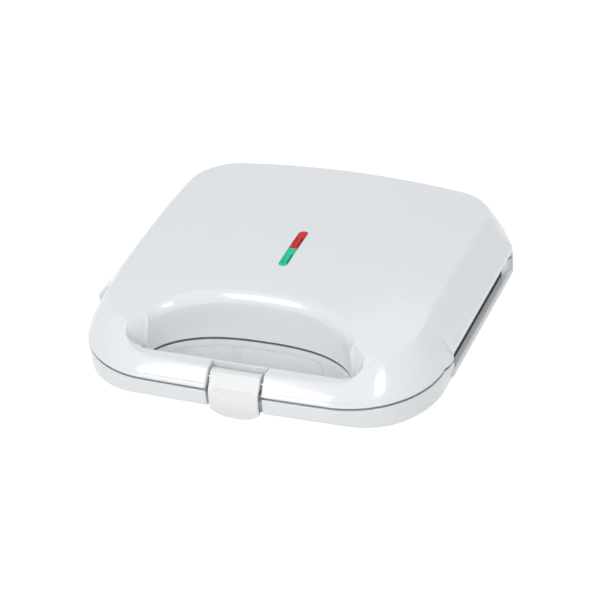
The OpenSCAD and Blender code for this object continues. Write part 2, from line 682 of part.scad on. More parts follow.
// Places of the lamp window, its holder and its lamps
lens_y = front_y + lens_front;
lens_cy = lens_y + lens_l / 2;
lens_top = lid_h - 0.7;
flange_z = lid_h - 5;
flange_t = 1;
holder_h = 7;
holder_z = flange_z - holder_h;
holder_hw = 7;
holder_wall = 1.3;
ear_l = 8;
ear_t = 2;
lamp_r = 2.4;
lamp_l = 9;
wire_hole_up = 2.3;
holder_l = lens_l + 6;

// Tube swept along a smooth route through hand-set points
function spline(a, b, c, d, t) = 0.5 * (2 * b + (c - a) * t + (2 * a - 5 * b + 4 * c - d) * t * t
  + (3 * b - a - 3 * c + d) * t * t * t);
function route(p, steps) = let(n = len(p)) concat(
  [for (i = [0:n - 2]) for (k = [0:steps - 1])
    spline(p[max(i - 1, 0)], p[i], p[i + 1], p[min(i + 2, n - 1)], k / steps)], [p[n - 1]]);
module lead(points, r, sides = 8) {
  path = route(points, 3);
  n = len(path);
  along = [for (i = [0:n - 1]) unit(path[min(i + 1, n - 1)] - path[max(i - 1, 0)])];
  across = [for (a = along) unit(cross(a, abs(a.z) < 0.8 ? [0.2, 0.3, 1] : [1, 0.2, 0.1]))];
  rings = [for (i = [0:n - 1]) let(u = across[i], v = cross(along[i], u))
    for (k = [0:sides - 1]) path[i] + r * (u * cos(360 * k / sides) + v * sin(360 * k / sides))];
  polyhedron(rings, concat(
    [for (i = [0:n - 2]) for (k = [0:sides - 1]) let(a = i * sides + k, b = i * sides + (k + 1) % sides)
      [a, b, b + sides, a + sides]],
    [[for (k = [sides - 1:-1:0]) k]], [[for (k = [0:sides - 1]) (n - 1) * sides + k]]));
}
// Routes of the wires, from the parting plane up, tied to the pieces that they join
mains_r = 1.2;
gland_end = rear_edge(inlet_x) - wall - 2.6;
term_y = block_y + block_d + 0.3;
term_z = wall + block_h / 2 - pan_h;
pin_y = plate_cy + loop_y - terminal_r - 0.45;
pin_x = loop_gap - collar_l - pin_l + 1;
shield_top = shield_z + sheet_t;
holder_end = lens_cy + holder_l / 2;
hole_z = holder_z + wire_hole_up;
mains_routes = [
  [[-inlet_x - 1.4, gland_end, -inlet_down], [-inlet_x, gland_end - 4.3, -inlet_down - 1.5],
    [-24, gland_end - 8.3, -15], [-14, term_y + 8, term_z + 3.7],
    [-7, term_y + 4, term_z], [-7, term_y, term_z]],
  [[-inlet_x + 1.4, gland_end, -inlet_down], [-26.5, gland_end - 2.8, -inlet_down - 1],
    [-20, gland_end - 5.8, -13], [-10, term_y + 11, term_z + 6], [-3, term_y + 6, term_z + 0.5],
    [-3, term_y, term_z]]];
heater_route = [[pin_x, block_y - 0.35, term_z], [pin_x, pin_y - 12.5, term_z + 0.5],
  [pin_x, pin_y - 16, -shield_top - 0.4], [pin_x, pin_y - 13.5, -heater_z - 1.1],
  [pin_x, pin_y - 6.5, -heater_z], [pin_x, pin_y, -heater_z]];
feed_route = [[3.5, term_y, term_z], [3.5, term_y + 4.5, term_z + 0.6],
  [1, hinge_y - 22.6, -18.5], [-3, hinge_y - 19, -13.2], [-6.5, hinge_y - 15.1, -8.3],
  [-conduit_x, hinge_y - 11.6, -passage_z - 0.4], [-conduit_x, hinge_y - 5.6, -passage_z],
  [-7, hinge_y - 1, -2], [-4, hinge_y, 0], [-0.3, hinge_y, 0]];
lid_route = [[0.3, hinge_y, 0], [4, hinge_y, 0], [7, hinge_y - 1, 2], [conduit_x, hinge_y - 5.6, passage_z],
  [conduit_x, hinge_y - 11.6, passage_z + 0.1], [7, hinge_y - 16.6, 8], [6, hinge_y - 23.6, 18],
  [5, pin_y + 6.5, shield_top + 3.4], [pin_x, pin_y - 5.5, shield_top + 3.5],
  [pin_x, pin_y - 14.5, shield_top + 2.4], [pin_x, pin_y - 16, shield_top - 0.2],
  [pin_x, pin_y - 13.5, heater_z + 1.1], [pin_x, pin_y - 6.5, heater_z], [pin_x, pin_y, heater_z]];
return_route = [[-pin_x, pin_y, heater_z], [-pin_x, pin_y - 6.5, heater_z],
  [-pin_x, pin_y - 13.5, heater_z + 1.1], [-pin_x, pin_y - 16, shield_top - 0.2],
  [-pin_x, pin_y - 19.5, shield_top + 2.9],
  [-3, holder_end + 25.4, hole_z - 1.8], [-1, holder_end + 13.4, hole_z - 0.6],
  [0, holder_end + 6.4, hole_z - 0.2], [0, holder_end - 0.4, hole_z]];
module base_leads() {
  color("sienna") translate([0, 0, parting_z]) {
    for (p = mains_routes) lead(p, mains_r);
    lead(feed_route, lead_r);
    lead(heater_route, mains_r);
    mirror([1, 0, 0]) lead(heater_route, mains_r);
  }
}
module lid_leads() {
  color("sienna") upper_half() {
    lead(lid_route, lead_r);
    lead(return_route, mains_r);
  }
}

// Lamp window: two lenses in one slot, on a holder with its lamps
module slot_plan(l, w) {
  translate([-w / 2, (w - l) / 2]) square([w, l - w]);
  for (s = [-1, 1]) translate([0, s * (l - w) / 2]) circle(w / 2);
}
module lens(side) {
  upper_half() translate([0, lens_cy, 0]) intersection() {
    union() {
      translate([0, 0, flange_z]) linear_extrude(lens_top - flange_z)
        slot_plan(lens_l - 2 * seat_gap / 2, lens_w - 2 * seat_gap / 2);
      translate([0, 0, flange_z]) linear_extrude(flange_t) slot_plan(lens_l + 4, lens_w + 4);
    }
    translate([-lens_w, side > 0 ? 0 : -lens_l, 0]) cube([2 * lens_w, lens_l, 2 * lid_h]);
  }
}
module lamp_holder() {
  l = holder_l;
  color("gainsboro") upper_half() translate([0, lens_cy, 0]) difference() {
    union() {
      translate([-holder_hw, -l / 2, holder_z]) cube([2 * holder_hw, l, holder_h]);
      translate([-4, -l / 2 - ear_l, flange_z - ear_t]) cube([8, l + 2 * ear_l, ear_t]);
    }
    translate([-holder_hw + holder_wall, -l / 2 + holder_wall, holder_z + holder_wall])
      cube([2 * (holder_hw - holder_wall), l - 2 * holder_wall, holder_h]);
    for (s = [-1, 1]) translate([0, s * (l + ear_l) / 2, 0])
      column(small_screw_r + fix_gap, flange_z - ear_t - 1, flange_z + 1);
    translate([0, 0, holder_z + wire_hole_up]) rod_y(1.6, l / 2 - 2, l / 2 + 1);
  }
}
module lamp_holder_screws() {
  color("silver") upper_half() for (s = [-1, 1]) translate([0, lens_cy + s * (holder_l + ear_l) / 2, 0]) {
    column(small_screw_r, flange_z - ear_t, flange_z + 2);
    column(small_head_r, flange_z - ear_t - 1.3, flange_z - ear_t);
  }
}
module lamp(side) {
  upper_half() translate([0, lens_cy + side * lens_l / 4, holder_z + holder_wall + lamp_r]) {
    rod_y(lamp_r, -lamp_l / 2, lamp_l / 2);
    for (s = [-1, 1]) translate([0, s * lamp_l / 2, 0]) sphere(lamp_r);
  }
}
module lamp_resistors() {
  color("tan") upper_half() for (s = [-1, 1])
    translate([4.3, lens_cy + s * lens_l / 4, holder_z + holder_wall + 1.05]) rod_y(1, -3, 3);
}

module lid_housing() {
  color("white") difference() {
    union() {
      ring_solid([for (s = stations) lid_section(s)]);
      upper_half() translate([0, 0, half_gap]) linear_extrude(deck_t) deck_plan();
      upper_half() translate([0, 0, window_up]) window_ledges();
      upper_half() for (p = fix_places)
        translate([p.x, p.y, 0]) column(boss_r, post_z, crown(p) - wall / 2);
      for (s = [-1, 1]) barrel(s * hinge_x, knuckle_l, 1);
      barrel((conduit_l + hinge_side / 2) / 2, conduit_l - hinge_side / 2, 1);
      upper_half() for (s = [-1, 1]) let(y = lens_cy + s * (holder_l + ear_l) / 2)
        translate([0, y, 0]) column(3, flange_z, crown([0, y]) - wall / 2);
      for (s = [-1, 1]) translate([s > 0 ? notch_hw : -notch_hw - cheek_t, 0, parting_z])
        rotate([90, 0, 90]) linear_extrude(cheek_t) polygon([[front_y + 1.6, half_gap],
          [front_y + 1.6, 2.6], [front_y + 7.8, bar_h - 1.2], [bar_y - 1, bar_h - 1.2],
          [bar_y - 1, half_gap]]);
    }
    translate([-notch_hw, front_y - 5, parting_z - 1])
      cube([2 * notch_hw, bar_d - bar_skin + 5, bar_h + 10]);
    upper_half() at_places(fix_places) column(screw_r + fix_gap, post_z - 1, post_z + 9);
    for (s = [-1, 1]) hinge_bore(s * hinge_x, knuckle_l + 1, hinge_pin_r + run_gap);
    wire_passage(1);
    upper_half() translate([0, lens_cy, flange_z]) linear_extrude(lid_h) slot_plan(lens_l, lens_w);
    upper_half() for (s = [-1, 1]) translate([0, lens_cy + s * (holder_l + ear_l) / 2, 0])
      column(small_screw_r + fix_gap, flange_z - 1, flange_z + 2.2);
    translate([0, front_y + pin_back, parting_z + pin_z])
      rod(latch_pin_r + fix_gap, 2 * (notch_hw + cheek_t - 0.4));
  }
}

// Latch: a leaf that hangs from its pin, with finger ribs, a lower lip that curls back and a hook behind
latch_top = 10.6;
rib_zs = [-0.9, -2.4, -3.9, -5.4];
rib_in = 0.8;
rib_l = latch_w - 5.7;
latch_edge = 2;
function latch_bottom(x) = -latch_down + 6 * pow(abs(x) / (latch_w / 2), 2.6);
module latch() {
  out = -latch_out;
  inner = out + latch_t;
  lip = out + latch_curl;
  hw = latch_w / 2;
  color("ivory") translate([0, front_y, parting_z]) difference() {
    intersection() {
      translate([-hw, 0, 0]) rotate([90, 0, 90]) linear_extrude(latch_w) polygon([[12.6, 2.4], [12.6, 8],
        [11.4, 9.6], [9.5, latch_top - 0.2], [7.6, latch_top], [5.6, latch_top - 0.4], [-0.2, 1.4],
        [out + 0.5, -0.6], [out, -7.8], [out + 0.3, -10.5], [lip - 0.9, -latch_down + 3.4],
        [lip, -latch_down], [lip + 2.5, -latch_down], [hook_in, -12.2], [hook_in, -10.2], [inner, -9.6],
        [inner, 0.2], [3, 2.4]]);
      rotate([90, 0, 0]) translate([0, 0, -20]) linear_extrude(40) polygon(concat(
        [[hw, latch_top + 1], [-hw, latch_top + 1]],
        [for (i = [-8:8]) let(x = i * hw / 8) [x, latch_bottom(x)]]));
      translate([0, 0, -latch_down - 1]) linear_extrude(latch_down + latch_top + 2) polygon(concat(
        [[hw, 20], [-hw, 20]],
        [for (s = [-1, 1]) for (a = s < 0 ? [180:30:270] : [270:30:360])
          [s * (hw - latch_edge) + latch_edge * cos(a), out + latch_edge * (1 + sin(a))]]));
    }
    for (z = rib_zs) translate([-rib_l / 2, out - 1, z - 0.35]) cube([rib_l, 1 + rib_in, 0.7]);
    translate([0, pin_back, pin_z]) rod(latch_pin_r + run_gap, latch_w + 2);
  }
}
module latch_pin() {
  color("silver") translate([0, front_y + pin_back, parting_z + pin_z])
    rod(latch_pin_r, 2 * (notch_hw + cheek_t) - 1);
}

module lower_plate() { color("dimgray") lower_half() plate_half(false); }
module upper_plate() { color("dimgray") upper_half() plate_half(true); }
module lower_element() { color("silver") lower_half() heater_half(); }
module upper_element() { color("silver") upper_half() heater_half(); }
module lower_element_ends() { color("ivory") lower_half() heater_ends_half(); }
module upper_element_ends() { color("ivory") upper_half() heater_ends_half(); }
module lower_heat_shield() { color("lightgray") lower_half() heat_shield_half(); }
module upper_heat_shield() { color("lightgray") upper_half() heat_shield_half(); }
module lower_shield_screws() { color("silver") lower_half() shield_screws_half(); }
module upper_shield_screws() { color("silver") upper_half() shield_screws_half(); }
module lower_thermostat() { color("ivory") lower_half() thermostat_half(); }
module upper_thermostat() { color("ivory") upper_half() thermostat_half(); }
module front_feet() { feet_pair(-1); }
module rear_feet() { feet_pair(1); }
module power_lens() { color("red") lens(1); }
module ready_lens() { color("green") lens(-1); }
module power_lamp() { color("orange") lamp(1); }
module ready_lamp() { color("orange") lamp(-1); }

base_housing();
lower_plate();
lower_element();
lower_element_ends();
lower_heat_shield();
lower_shield_screws();
lower_plate_screws();
lower_thermostat();
thermal_fuse();
terminal_block();
base_leads();
cord_gland();
front_feet();
rear_feet();
hinge_pins();
lid_housing();
upper_plate();
upper_element();
upper_element_ends();
upper_heat_shield();
upper_shield_screws();
upper_plate_screws();
upper_thermostat();
lamp_holder();
lamp_holder_screws();
power_lens();
ready_lens();
power_lamp();
ready_lamp();
lamp_resistors();
lid_leads();
latch();
latch_pin();
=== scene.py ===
"""Looks of a donut maker: glossy shells, latch, lamp window, plates and fittings, and the stage."""

import math
from types import SimpleNamespace

import bpy
import numpy as np
from bpy.props import FloatProperty, FloatVectorProperty, IntProperty, PointerProperty
from mathutils import Matrix, Vector


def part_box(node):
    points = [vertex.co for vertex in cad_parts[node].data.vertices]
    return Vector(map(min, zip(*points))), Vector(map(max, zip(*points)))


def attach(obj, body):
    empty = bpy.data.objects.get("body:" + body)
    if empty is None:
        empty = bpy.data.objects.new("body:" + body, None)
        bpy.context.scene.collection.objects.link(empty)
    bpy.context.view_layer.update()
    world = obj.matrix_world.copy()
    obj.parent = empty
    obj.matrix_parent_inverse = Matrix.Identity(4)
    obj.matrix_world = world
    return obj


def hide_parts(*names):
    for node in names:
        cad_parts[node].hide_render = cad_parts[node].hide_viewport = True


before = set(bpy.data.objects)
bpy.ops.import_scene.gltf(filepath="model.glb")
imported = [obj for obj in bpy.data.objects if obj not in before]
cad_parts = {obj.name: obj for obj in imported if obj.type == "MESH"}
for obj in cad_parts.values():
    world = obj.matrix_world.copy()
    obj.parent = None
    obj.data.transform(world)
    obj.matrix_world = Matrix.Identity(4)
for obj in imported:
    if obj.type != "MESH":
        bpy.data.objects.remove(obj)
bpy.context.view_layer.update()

bl_info = {
    "name": "Donut maker",
    "version": (1, 0, 0),
    "blender": (4, 5, 0),
    "location": "View3D > Sidebar > Donut maker",
    "description": "Builds the shells, latch, lamp window, plates and fittings of a donut maker",
    "category": "Add Mesh",
}

MM = 0.001
PIN_LOW, PIN_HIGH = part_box("hinge_pins")
HINGE = (PIN_LOW + PIN_HIGH) / 2
LENS_LOW, LENS_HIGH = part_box("ready_lens")[0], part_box("power_lens")[1]
LENS_Y = (LENS_LOW.y + LENS_HIGH.y) / 2
PLATE_LOW, PLATE_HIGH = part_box("upper_plate")
SHELL_SHARP = 34

# Lamp window's slot: radius of its ends and half its length.
SLOT_R, SLOT_HALF = 3 * MM, 20 * MM

# Hinge barrels: at each side one of the lid between two lugs of the base, and a middle pair.
SIDE_X, SIDE_L = PIN_HIGH.x - 15.3 * MM, 15 * MM
LUG_X, LUG_L = 11.8 * MM, 8 * MM
PAIR_X, PAIR_L = 7.1 * MM, 13.8 * MM


# ---- settings

def length(name, description, default, low=0.0, high=0.5):
    """A size in metres, given here in millimetres."""
    return FloatProperty(name=name, description=description, default=default * MM, min=low,
                         max=high, unit="LENGTH", precision=4)


def number(name, description, default, kind=FloatProperty):
    """A plain number."""
    return kind(name=name, description=description, default=default)


def colour(name, description, default):
    """A surface colour."""
    return FloatVectorProperty(name=name, description=description, default=default, min=0, max=1,
                               size=3, subtype="COLOR")


class HousingSettings(bpy.types.PropertyGroup):
    body_w: length("Width", "Width of the housing where the halves meet", 225)
    body_d: length("Depth", "From the front bar to the rear wall", 222.5)
    hinge_back: length("Hinge distance", "From the rear wall back to the hinge axis", 7)
    front_r: length("Front corners", "Radius seen from above", 53.5)
    rear_r: length("Rear corners", "Radius seen from above", 38)
    front_bow: length("Front bow", "How far the edge bows forward", 3.2)
    rear_bow: length("Rear bow", "How far the edge bows backward", 3.5)
    wall: length("Wall", "Wall thickness of the shells", 2.5)
    rim_gap: length("Rim gap", "Gap between the two halves", 1.6)
    deck_t: length("Deck", "Thickness of the deck around the plates", 2)
    lid_h: length("Lid height", "Height of the crown above the parting plane", 36)
    side_drop: length("Side drop", "Fall of the crown towards each side", 6.5)
    front_drop: length("Front drop", "Fall of the crown towards the front", 6.5)
    rear_drop: length("Rear drop", "Fall of the crown towards the rear", 5)
    crest: length("Crest", "From the front edge to the lid's highest line", 116)
    front_shoulder: length("Front shoulder", "Width of the shoulder in front", 26)
    corner_shoulder: length("Corner shoulder", "Width of it at the front corners", 17)
    side_shoulder: length("Side shoulder", "Width of it at the sides", 13.5)
    rear_shoulder: length("Rear shoulder", "Width of it at the rear", 12)
    bar_base_h: length("Bar depth", "Depth of the base under the front bar", 12.5)
    base_wall_h: length("Base wall", "Depth of the base's outer wall", 16.2)
    pan_h: length("Pan", "Depth of the pan below the parting plane", 31)
    open_w: length("Opening width", "Width of the hand opening", 135)
    open_back: length("Opening back", "From the front edge to the opening's rear wall", 55.5)
    bar_d: length("Bar", "Depth of the front bar", 16.5)
    bar_h: length("Bar height", "Height of the lid's front bar", 12)
    bar_blend: length("Bar blend", "Radius of the hollow from the bar to the shoulders", 14)
    rim_r: length("Rim bevel", "Width of the bevel round the opening's upper rim", 4.6)
    rim_fall: length("Rim fall", "Height of the bevel round the opening's upper rim", 6.8)
    window_front: length("Window front", "From the front edge to the side window", 66.5)
    window_l: length("Window length", "Length of each side window", 118)
    window_up: length("Window top", "Height of the lid's edge at the window", 4.7)
    window_down: length("Window bottom", "Depth of the base's edge at the window", 8)
    lip_out: length("Window lips", "How far the lips stand out", 1.9)
    front_steps: number("Front steps", "Sections along half of the front", 64, IntProperty)
    corner_steps: number("Corner steps", "Sections round a front corner", 72, IntProperty)


class LatchSettings(bpy.types.PropertyGroup):
    width: length("Width", "Width of the latch", 31.5)
    side_gap: length("Side gap", "Clearance at each side of the latch", 1.7)
    thick: length("Leaf", "Thickness of the front leaf", 2.3)
    down: length("Reach", "Depth of its lower end below the parting plane", 18.2)
    out: length("Stand-out", "How far it stands ahead of the front edge", 1.7)
    curl: length("Curl", "How far the lower lip curls back", 2.5)
    hook_in: length("Hook", "How far the hook reaches behind the front edge", 2.2)
    edge_r: length("Edges", "Radius of the leaf's upright edges", 2)
    rib_h: length("Ribs", "Depth of the grooves between the finger ribs", 0.45)


class FinishSettings(bpy.types.PropertyGroup):
    lid: colour("Lid", "Glossy white plastic of the lid", (0.726, 0.75, 0.772))
    base: colour("Base", "White plastic of the base", (0.70, 0.72, 0.725))
    latch: colour("Latch", "Warm white plastic of the latch", (0.74, 0.745, 0.74))
    coating: colour("Coating", "Dark non-stick coating of the plates", (0.022, 0.022, 0.024))
    power: colour("Power lens", "Red lens", (0.62, 0.028, 0.018))
    ready: colour("Ready lens", "Green lens", (0.012, 0.62, 0.33))
    rubber: colour("Feet", "Rubber of the feet", (0.06, 0.06, 0.062))


class StageSettings(bpy.types.PropertyGroup):
    azimuth: number("Azimuth", "Camera azimuth in degrees", 23.13)
    elevation: number("Elevation", "Camera elevation in degrees", 32.81)
    roll: number("Roll", "Camera roll in degrees", -4.60)
    distance: length("Distance", "Distance from the camera to its target", 1766.5, high=5)
    target_x: length("Target X", "Camera target across", -0.53, low=-1)
    target_y: length("Target Y", "Camera target in depth, from the hinge axis", -117.0, low=-1)
    target_z: length("Target Z", "Height of the camera target", 31.01)
    lens: number("Focal length", "Focal length in mm on a 36 mm sensor", 172.08)
    floor: colour("Floor", "Pale floor and backdrop", (0.9, 0.9, 0.9))


# ---- mesh helpers

def mix(a, b, t):
    """Straight blend from a to b."""
    return a + (b - a) * t


def smooth(t):
    """Blend 3 t^2 - 2 t^3 between 0 and 1."""
    t = np.clip(t, 0, 1)
    return t * t * (3 - 2 * t)


def ease(value, start, run):
    """Blend from 0 at the start to 1 a run later, both in millimetres."""
    return smooth((value - start * MM) / (run * MM))


def soft_min(a, b, k):
    """Lower of a and b, rounded over a height k where they cross."""
    h = np.clip(0.5 + 0.5 * (b - a) / k, 0, 1)
    return mix(b, a, h) - k * h * (1 - h)


def turned(angle):
    """Unit vectors at angles in radians, one a row."""
    return np.stack([np.cos(angle), np.sin(angle)], -1)


def around(steps):
    """Unit vectors round a full circle."""
    return turned(np.linspace(0, 2 * math.pi, steps, endpoint=False))


def curve(a, b, c, t):
    """Quadratic curve from a to c that starts and ends towards b."""
    return (1 - t) ** 2 * a + 2 * t * (1 - t) * b + t ** 2 * c


def quarter(r, steps):
    """Steps round an edge of radius r: how far each lies in from the side and in from the end."""
    a = np.linspace(0, math.pi / 2, steps)
    return r * (1 - np.sin(a)), r * (1 - np.cos(a))


def grid(points, wrap_u=False, wrap_v=False, caps=False):
    """Faces over points[u, v]: each cell is a quad; caps close the first and last row of u."""
    nu, nv = points.shape[:2]
    index = np.arange(nu * nv).reshape(nu, nv)
    if wrap_u:
        index = np.vstack([index, index[:1]])
    if wrap_v:
        index = np.hstack([index, index[:, :1]])
    quads = np.stack([index[:-1, :-1], index[1:, :-1], index[1:, 1:], index[:-1, 1:]], -1)
    ends = [index[0, :nv], index[nu - 1, :nv][::-1]] if caps else []
    return points.reshape(-1, 3), quads.reshape(-1, 4), ends


def outward(part):
    """Turns a closed part's faces out where its volume, the sum of a . (b x c) / 6, is negative."""
    points, quads, ends = part
    fans = [np.stack([np.full(len(e) - 2, e[0]), e[1:-1], e[2:]]) for e in ends]
    halves = [quads[:, :3].T, quads[:, [0, 2, 3]].T]
    volume = sum((points[a] * np.cross(points[b], points[c])).sum() for a, b, c in halves + fans)
    if volume < 0:
        return points, quads[:, ::-1], [e[::-1] for e in ends]
    return part


def linked(name, data):
    """New object, linked to the scene."""
    obj = bpy.data.objects.new(name, data)
    bpy.context.scene.collection.objects.link(obj)
    return obj


def solid(name, parts):
    """New object from closed parts."""
    points, faces, start = [], [], 0
    for part in parts:
        xyz, quads, ends = outward(part)
        points.append(xyz)
        faces += (quads + start).tolist() + [(e + start).tolist() for e in ends]
        start += len(xyz)
    mesh = bpy.data.meshes.new(name)
    mesh.from_pydata(np.concatenate(points).tolist(), [], faces)
    return linked(name, mesh)


def piece(name, parts, body, look, replaces=(), slot=None, sharp=30):
    """Visible piece riding on a body; edges sharper than an angle in degrees stay crisp."""
    obj = solid(name, parts)
    mesh = obj.data
    mesh.validate()
    mesh.shade_smooth()
    mesh.set_sharp_from_angle(angle=math.radians(sharp))
    mesh.materials.append(look)
    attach(obj, body)
    if replaces:
        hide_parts(*replaces)
    return obj


def stack(rows):
    """Rows of (plan points, heights) as one array [station, row, xyz]."""
    return np.stack([np.column_stack([xy, np.broadcast_to(z, len(xy))]) for xy, z in rows], 1)


def rounded_bar(low, high):
    """Box with soft edges: a loop |x|^n + |y|^n = 1, near a rectangle, drawn in at both ends."""
    power, spread = 20, 1.04
    low, high = np.array(low), np.array(high)
    half = (high - low)[:2] / 2
    loop = around(48)
    reach = (np.abs(loop) ** power).sum(1, keepdims=True) ** (-1 / power)
    loop = np.clip(spread * half * reach * loop, -half, half)
    inset, rise = quarter(0.4 * MM, 4)
    inset = np.concatenate([inset, inset[::-1]])
    z = np.concatenate([low[2] + rise, high[2] - rise[::-1]])
    rows = [(loop * (1 - d / half) + (low + high)[:2] / 2, level) for d, level in zip(inset, z)]
    return stack(rows).transpose(1, 0, 2)


# ---- outline and hand opening

def housing_plan(scene):
    """Derived sizes of the outline and the hand opening, in metres."""
    h, g = scene.donut_housing, scene.donut_latch
    p = SimpleNamespace(**{key: getattr(h, key) for key in HousingSettings.__annotations__})
    p.hw = p.body_w / 2
    p.rear_y = HINGE.y - p.hinge_back
    p.front_y = p.rear_y - p.body_d
    p.half_gap = p.rim_gap / 2
    p.edge_r = 0.5 * MM
    p.rim_relief = 1.3 * MM
    p.bar_y = p.front_y + p.bar_d
    p.back_y = p.front_y + p.open_back
    p.window_y = p.front_y + p.window_front
    p.window_end = p.window_y + p.window_l
    p.lip_low, p.lip_high = p.half_gap + 0.6 * MM, p.window_up + 4.2 * MM
    p.notch_hw, p.notch_edge = g.width / 2 + g.side_gap, 1.3 * MM

    p.front_flat, p.front_turn, p.front_arc, inset = corner(p, p.front_bow, p.front_r)
    p.front_c = np.array([p.hw - p.front_arc, p.front_y + inset])
    p.rear_flat, p.rear_turn, p.rear_arc, inset = corner(p, p.rear_bow, p.rear_r)
    p.rear_c = np.array([p.hw - p.rear_arc, p.rear_y - inset])

    p.open_hw, p.open_power, p.open_lead = p.open_w / 2, 2.5, 8 * MM
    p.open_y = p.bar_y - p.open_lead
    p.open_rise = p.back_y - p.open_y
    p.corner_x, p.corner_rise = p.open_hw - 5.5 * MM, 6 * MM
    p.arch_start = math.asin(((p.open_lead + p.corner_rise) / p.open_rise) ** (p.open_power / 2))
    # Places on the rim, from 0 at the bar's middle to 1 at the back: where its small corner and
    # arch start, then facing the ends of the front corner, of the side and of the rear corner.
    p.corner_q, p.arch_q, p.turn_q, p.side_q, p.rear_q = 0.3, 0.4, 0.55, 0.72, 0.84
    return p


def bowed(p, bow, x):
    """Front or rear edge, a shallow parabola: its fall from the middle and its angle at x."""
    return bow * (x / p.hw) ** 2, np.arctan(2 * bow * x / p.hw ** 2)


def corner(p, bow, r):
    """Corner arc that meets a bowed edge on the tangent: x and angle there, the arc's radius and
    its centre's distance from the edge's middle."""
    flat = p.hw - r
    fall, turn = bowed(p, bow, flat)
    arc = r / (1 - math.sin(turn))
    return flat, turn, arc, fall + arc * math.cos(turn)


def flare(p, y):
    """How far the lips along the side windows stand out at a depth y, eased in and out."""
    return p.lip_out * ease(y - p.window_y, -12.1, 9) * (1 - ease(y - p.window_end, 1, 4.6))


def rim(p, q):
    """Edge of the hand opening and its direction into the wall, for a place q from 0 to 1.

    The edge is a line along the bar, then a quadratic curve round the small corner, then the
    superellipse |x / a|^n + |y / b|^n = 1 over the back.
    """
    size, n = np.array([p.open_hw, p.open_rise]), p.open_power

    def arch(angle):
        share = np.clip(turned(angle), 0, 1)
        return np.array([0, p.open_y]) + size * share ** (2 / n), share ** (2 - 2 / n) / size

    u = np.clip(q / p.corner_q, 0, 1)
    t = np.clip((q - p.corner_q) / (p.arch_q - p.corner_q), 0, 1)[:, None]
    back = np.clip((q - p.arch_q) / (1 - p.arch_q), 0, 1)
    over, over_in = arch(mix(p.arch_start, math.pi / 2, back))
    line, end = np.stack([p.corner_x * u, 0 * u + p.bar_y], 1), arch(p.arch_start)[0]
    a, b = np.array([p.corner_x, p.bar_y]), np.array([end[0], p.bar_y])
    along = mix(b - a, end - b, t)
    curve_in = np.stack([along[:, 1], -along[:, 0]], 1)
    on_line, on_curve = (q <= p.corner_q)[:, None], (q < p.arch_q)[:, None]
    point = np.where(on_line, line, np.where(on_curve, curve(a, b, end, t), over))
    inward = np.where(on_line, [0, -1], np.where(on_curve, curve_in, over_in))
    return point, inward / np.linalg.norm(inward, axis=1, keepdims=True)


def stations(p):
    """Sections round the whole housing: outline point, outward normal, rim point, direction into
    the wall, shoulder width, stand-out of the window's lip, whether it's in a side window and the
    lip's top. The outline runs along the front parabola, a corner arc, the straight side, the rear
    arc and the rear parabola; the left half mirrors it.
    """
    gap, slip, notch_end = 0.01 * MM, 0.05 * MM, p.notch_hw + p.notch_edge
    side_steps, arc_steps, rear_steps, lag = 80, 56, 70, 0.62
    x = np.concatenate([
        np.linspace(0, p.notch_hw - gap, 14), p.notch_hw + quarter(p.notch_edge, 5)[1],
        np.linspace(notch_end + 0.6 * MM, p.front_flat, p.front_steps)])
    t = np.linspace(0, 1, p.corner_steps)[1:]
    near = np.concatenate([[-slip, slip], np.linspace(-7 * MM, 3 * MM, 14)])
    y = np.sort(np.concatenate([np.linspace(p.front_c[1], p.rear_c[1], side_steps)[1:],
                                p.window_y + near]))
    rear_angle = math.pi / 2 - p.rear_turn
    arc_end = math.asin((p.window_end - p.rear_c[1]) / p.rear_arc) / rear_angle
    near = np.concatenate([np.linspace(-0.06, 0.16, 14), [-1e-3, 1e-3]])
    t2 = np.concatenate([np.linspace(0, 1, arc_steps)[1:], arc_end + near])
    t2 = np.sort(t2).clip(1e-3, 1)
    x2 = np.linspace(p.rear_flat, 0, rear_steps)[1:]
    a1, a2 = mix(p.front_turn - math.pi / 2, 0, t), rear_angle * t2
    side_lip, rear_lip = flare(p, y), flare(p, p.rear_c[1] + p.rear_arc * np.sin(a2))
    (fall, turn), (fall2, turn2) = bowed(p, p.front_bow, x), bowed(p, p.rear_bow, x2)
    point = np.concatenate([np.stack([x, p.front_y + fall], 1),
                            p.front_c + p.front_arc * turned(a1),
                            np.stack([p.hw + side_lip, y], 1),
                            p.rear_c + (p.rear_arc + rear_lip)[:, None] * turned(a2),
                            np.stack([x2, p.rear_y - fall2], 1)])
    normal = turned(np.concatenate([turn - math.pi / 2, a1, 0 * y, a2, math.pi / 2 - turn2]))
    flat_q = p.corner_q * p.front_flat / p.corner_x
    share = (y - p.front_c[1]) / (p.rear_c[1] - p.front_c[1])
    q = np.concatenate([p.corner_q * x / p.corner_x, mix(flat_q, p.turn_q, t ** lag),
                        mix(p.turn_q, p.side_q, share), mix(p.side_q, p.rear_q, t2),
                        mix(1, p.rear_q, x2 / p.rear_flat)])
    f, c, s, r = p.front_shoulder, p.corner_shoulder, p.side_shoulder, p.rear_shoulder
    round_front = np.where(t < 0.5, mix(f, c, smooth(2 * t)), mix(c, s, smooth(2 * t - 1)))
    width = np.concatenate([0 * x + f, round_front, 0 * y + s, mix(s, r, smooth(t2)), 0 * x2 + r])
    lip = np.concatenate([0 * x, 0 * a1, side_lip, rear_lip, 0 * x2])
    edge, inward = rim(p, q)

    def both(half, mirror=np.array([-1, 1])):
        return np.concatenate([half, half[-2:0:-1] * mirror])

    y = both(point)[:, 1]
    window = (y > p.window_y) & (y < p.window_end)
    return SimpleNamespace(point=both(point), normal=both(normal), rim=both(edge),
                           inward=both(inward), width=both(width, 1), lip=both(lip, 1),
                           window=window, lip_top=np.where(window, p.lip_high, p.lip_low))


# ---- shells

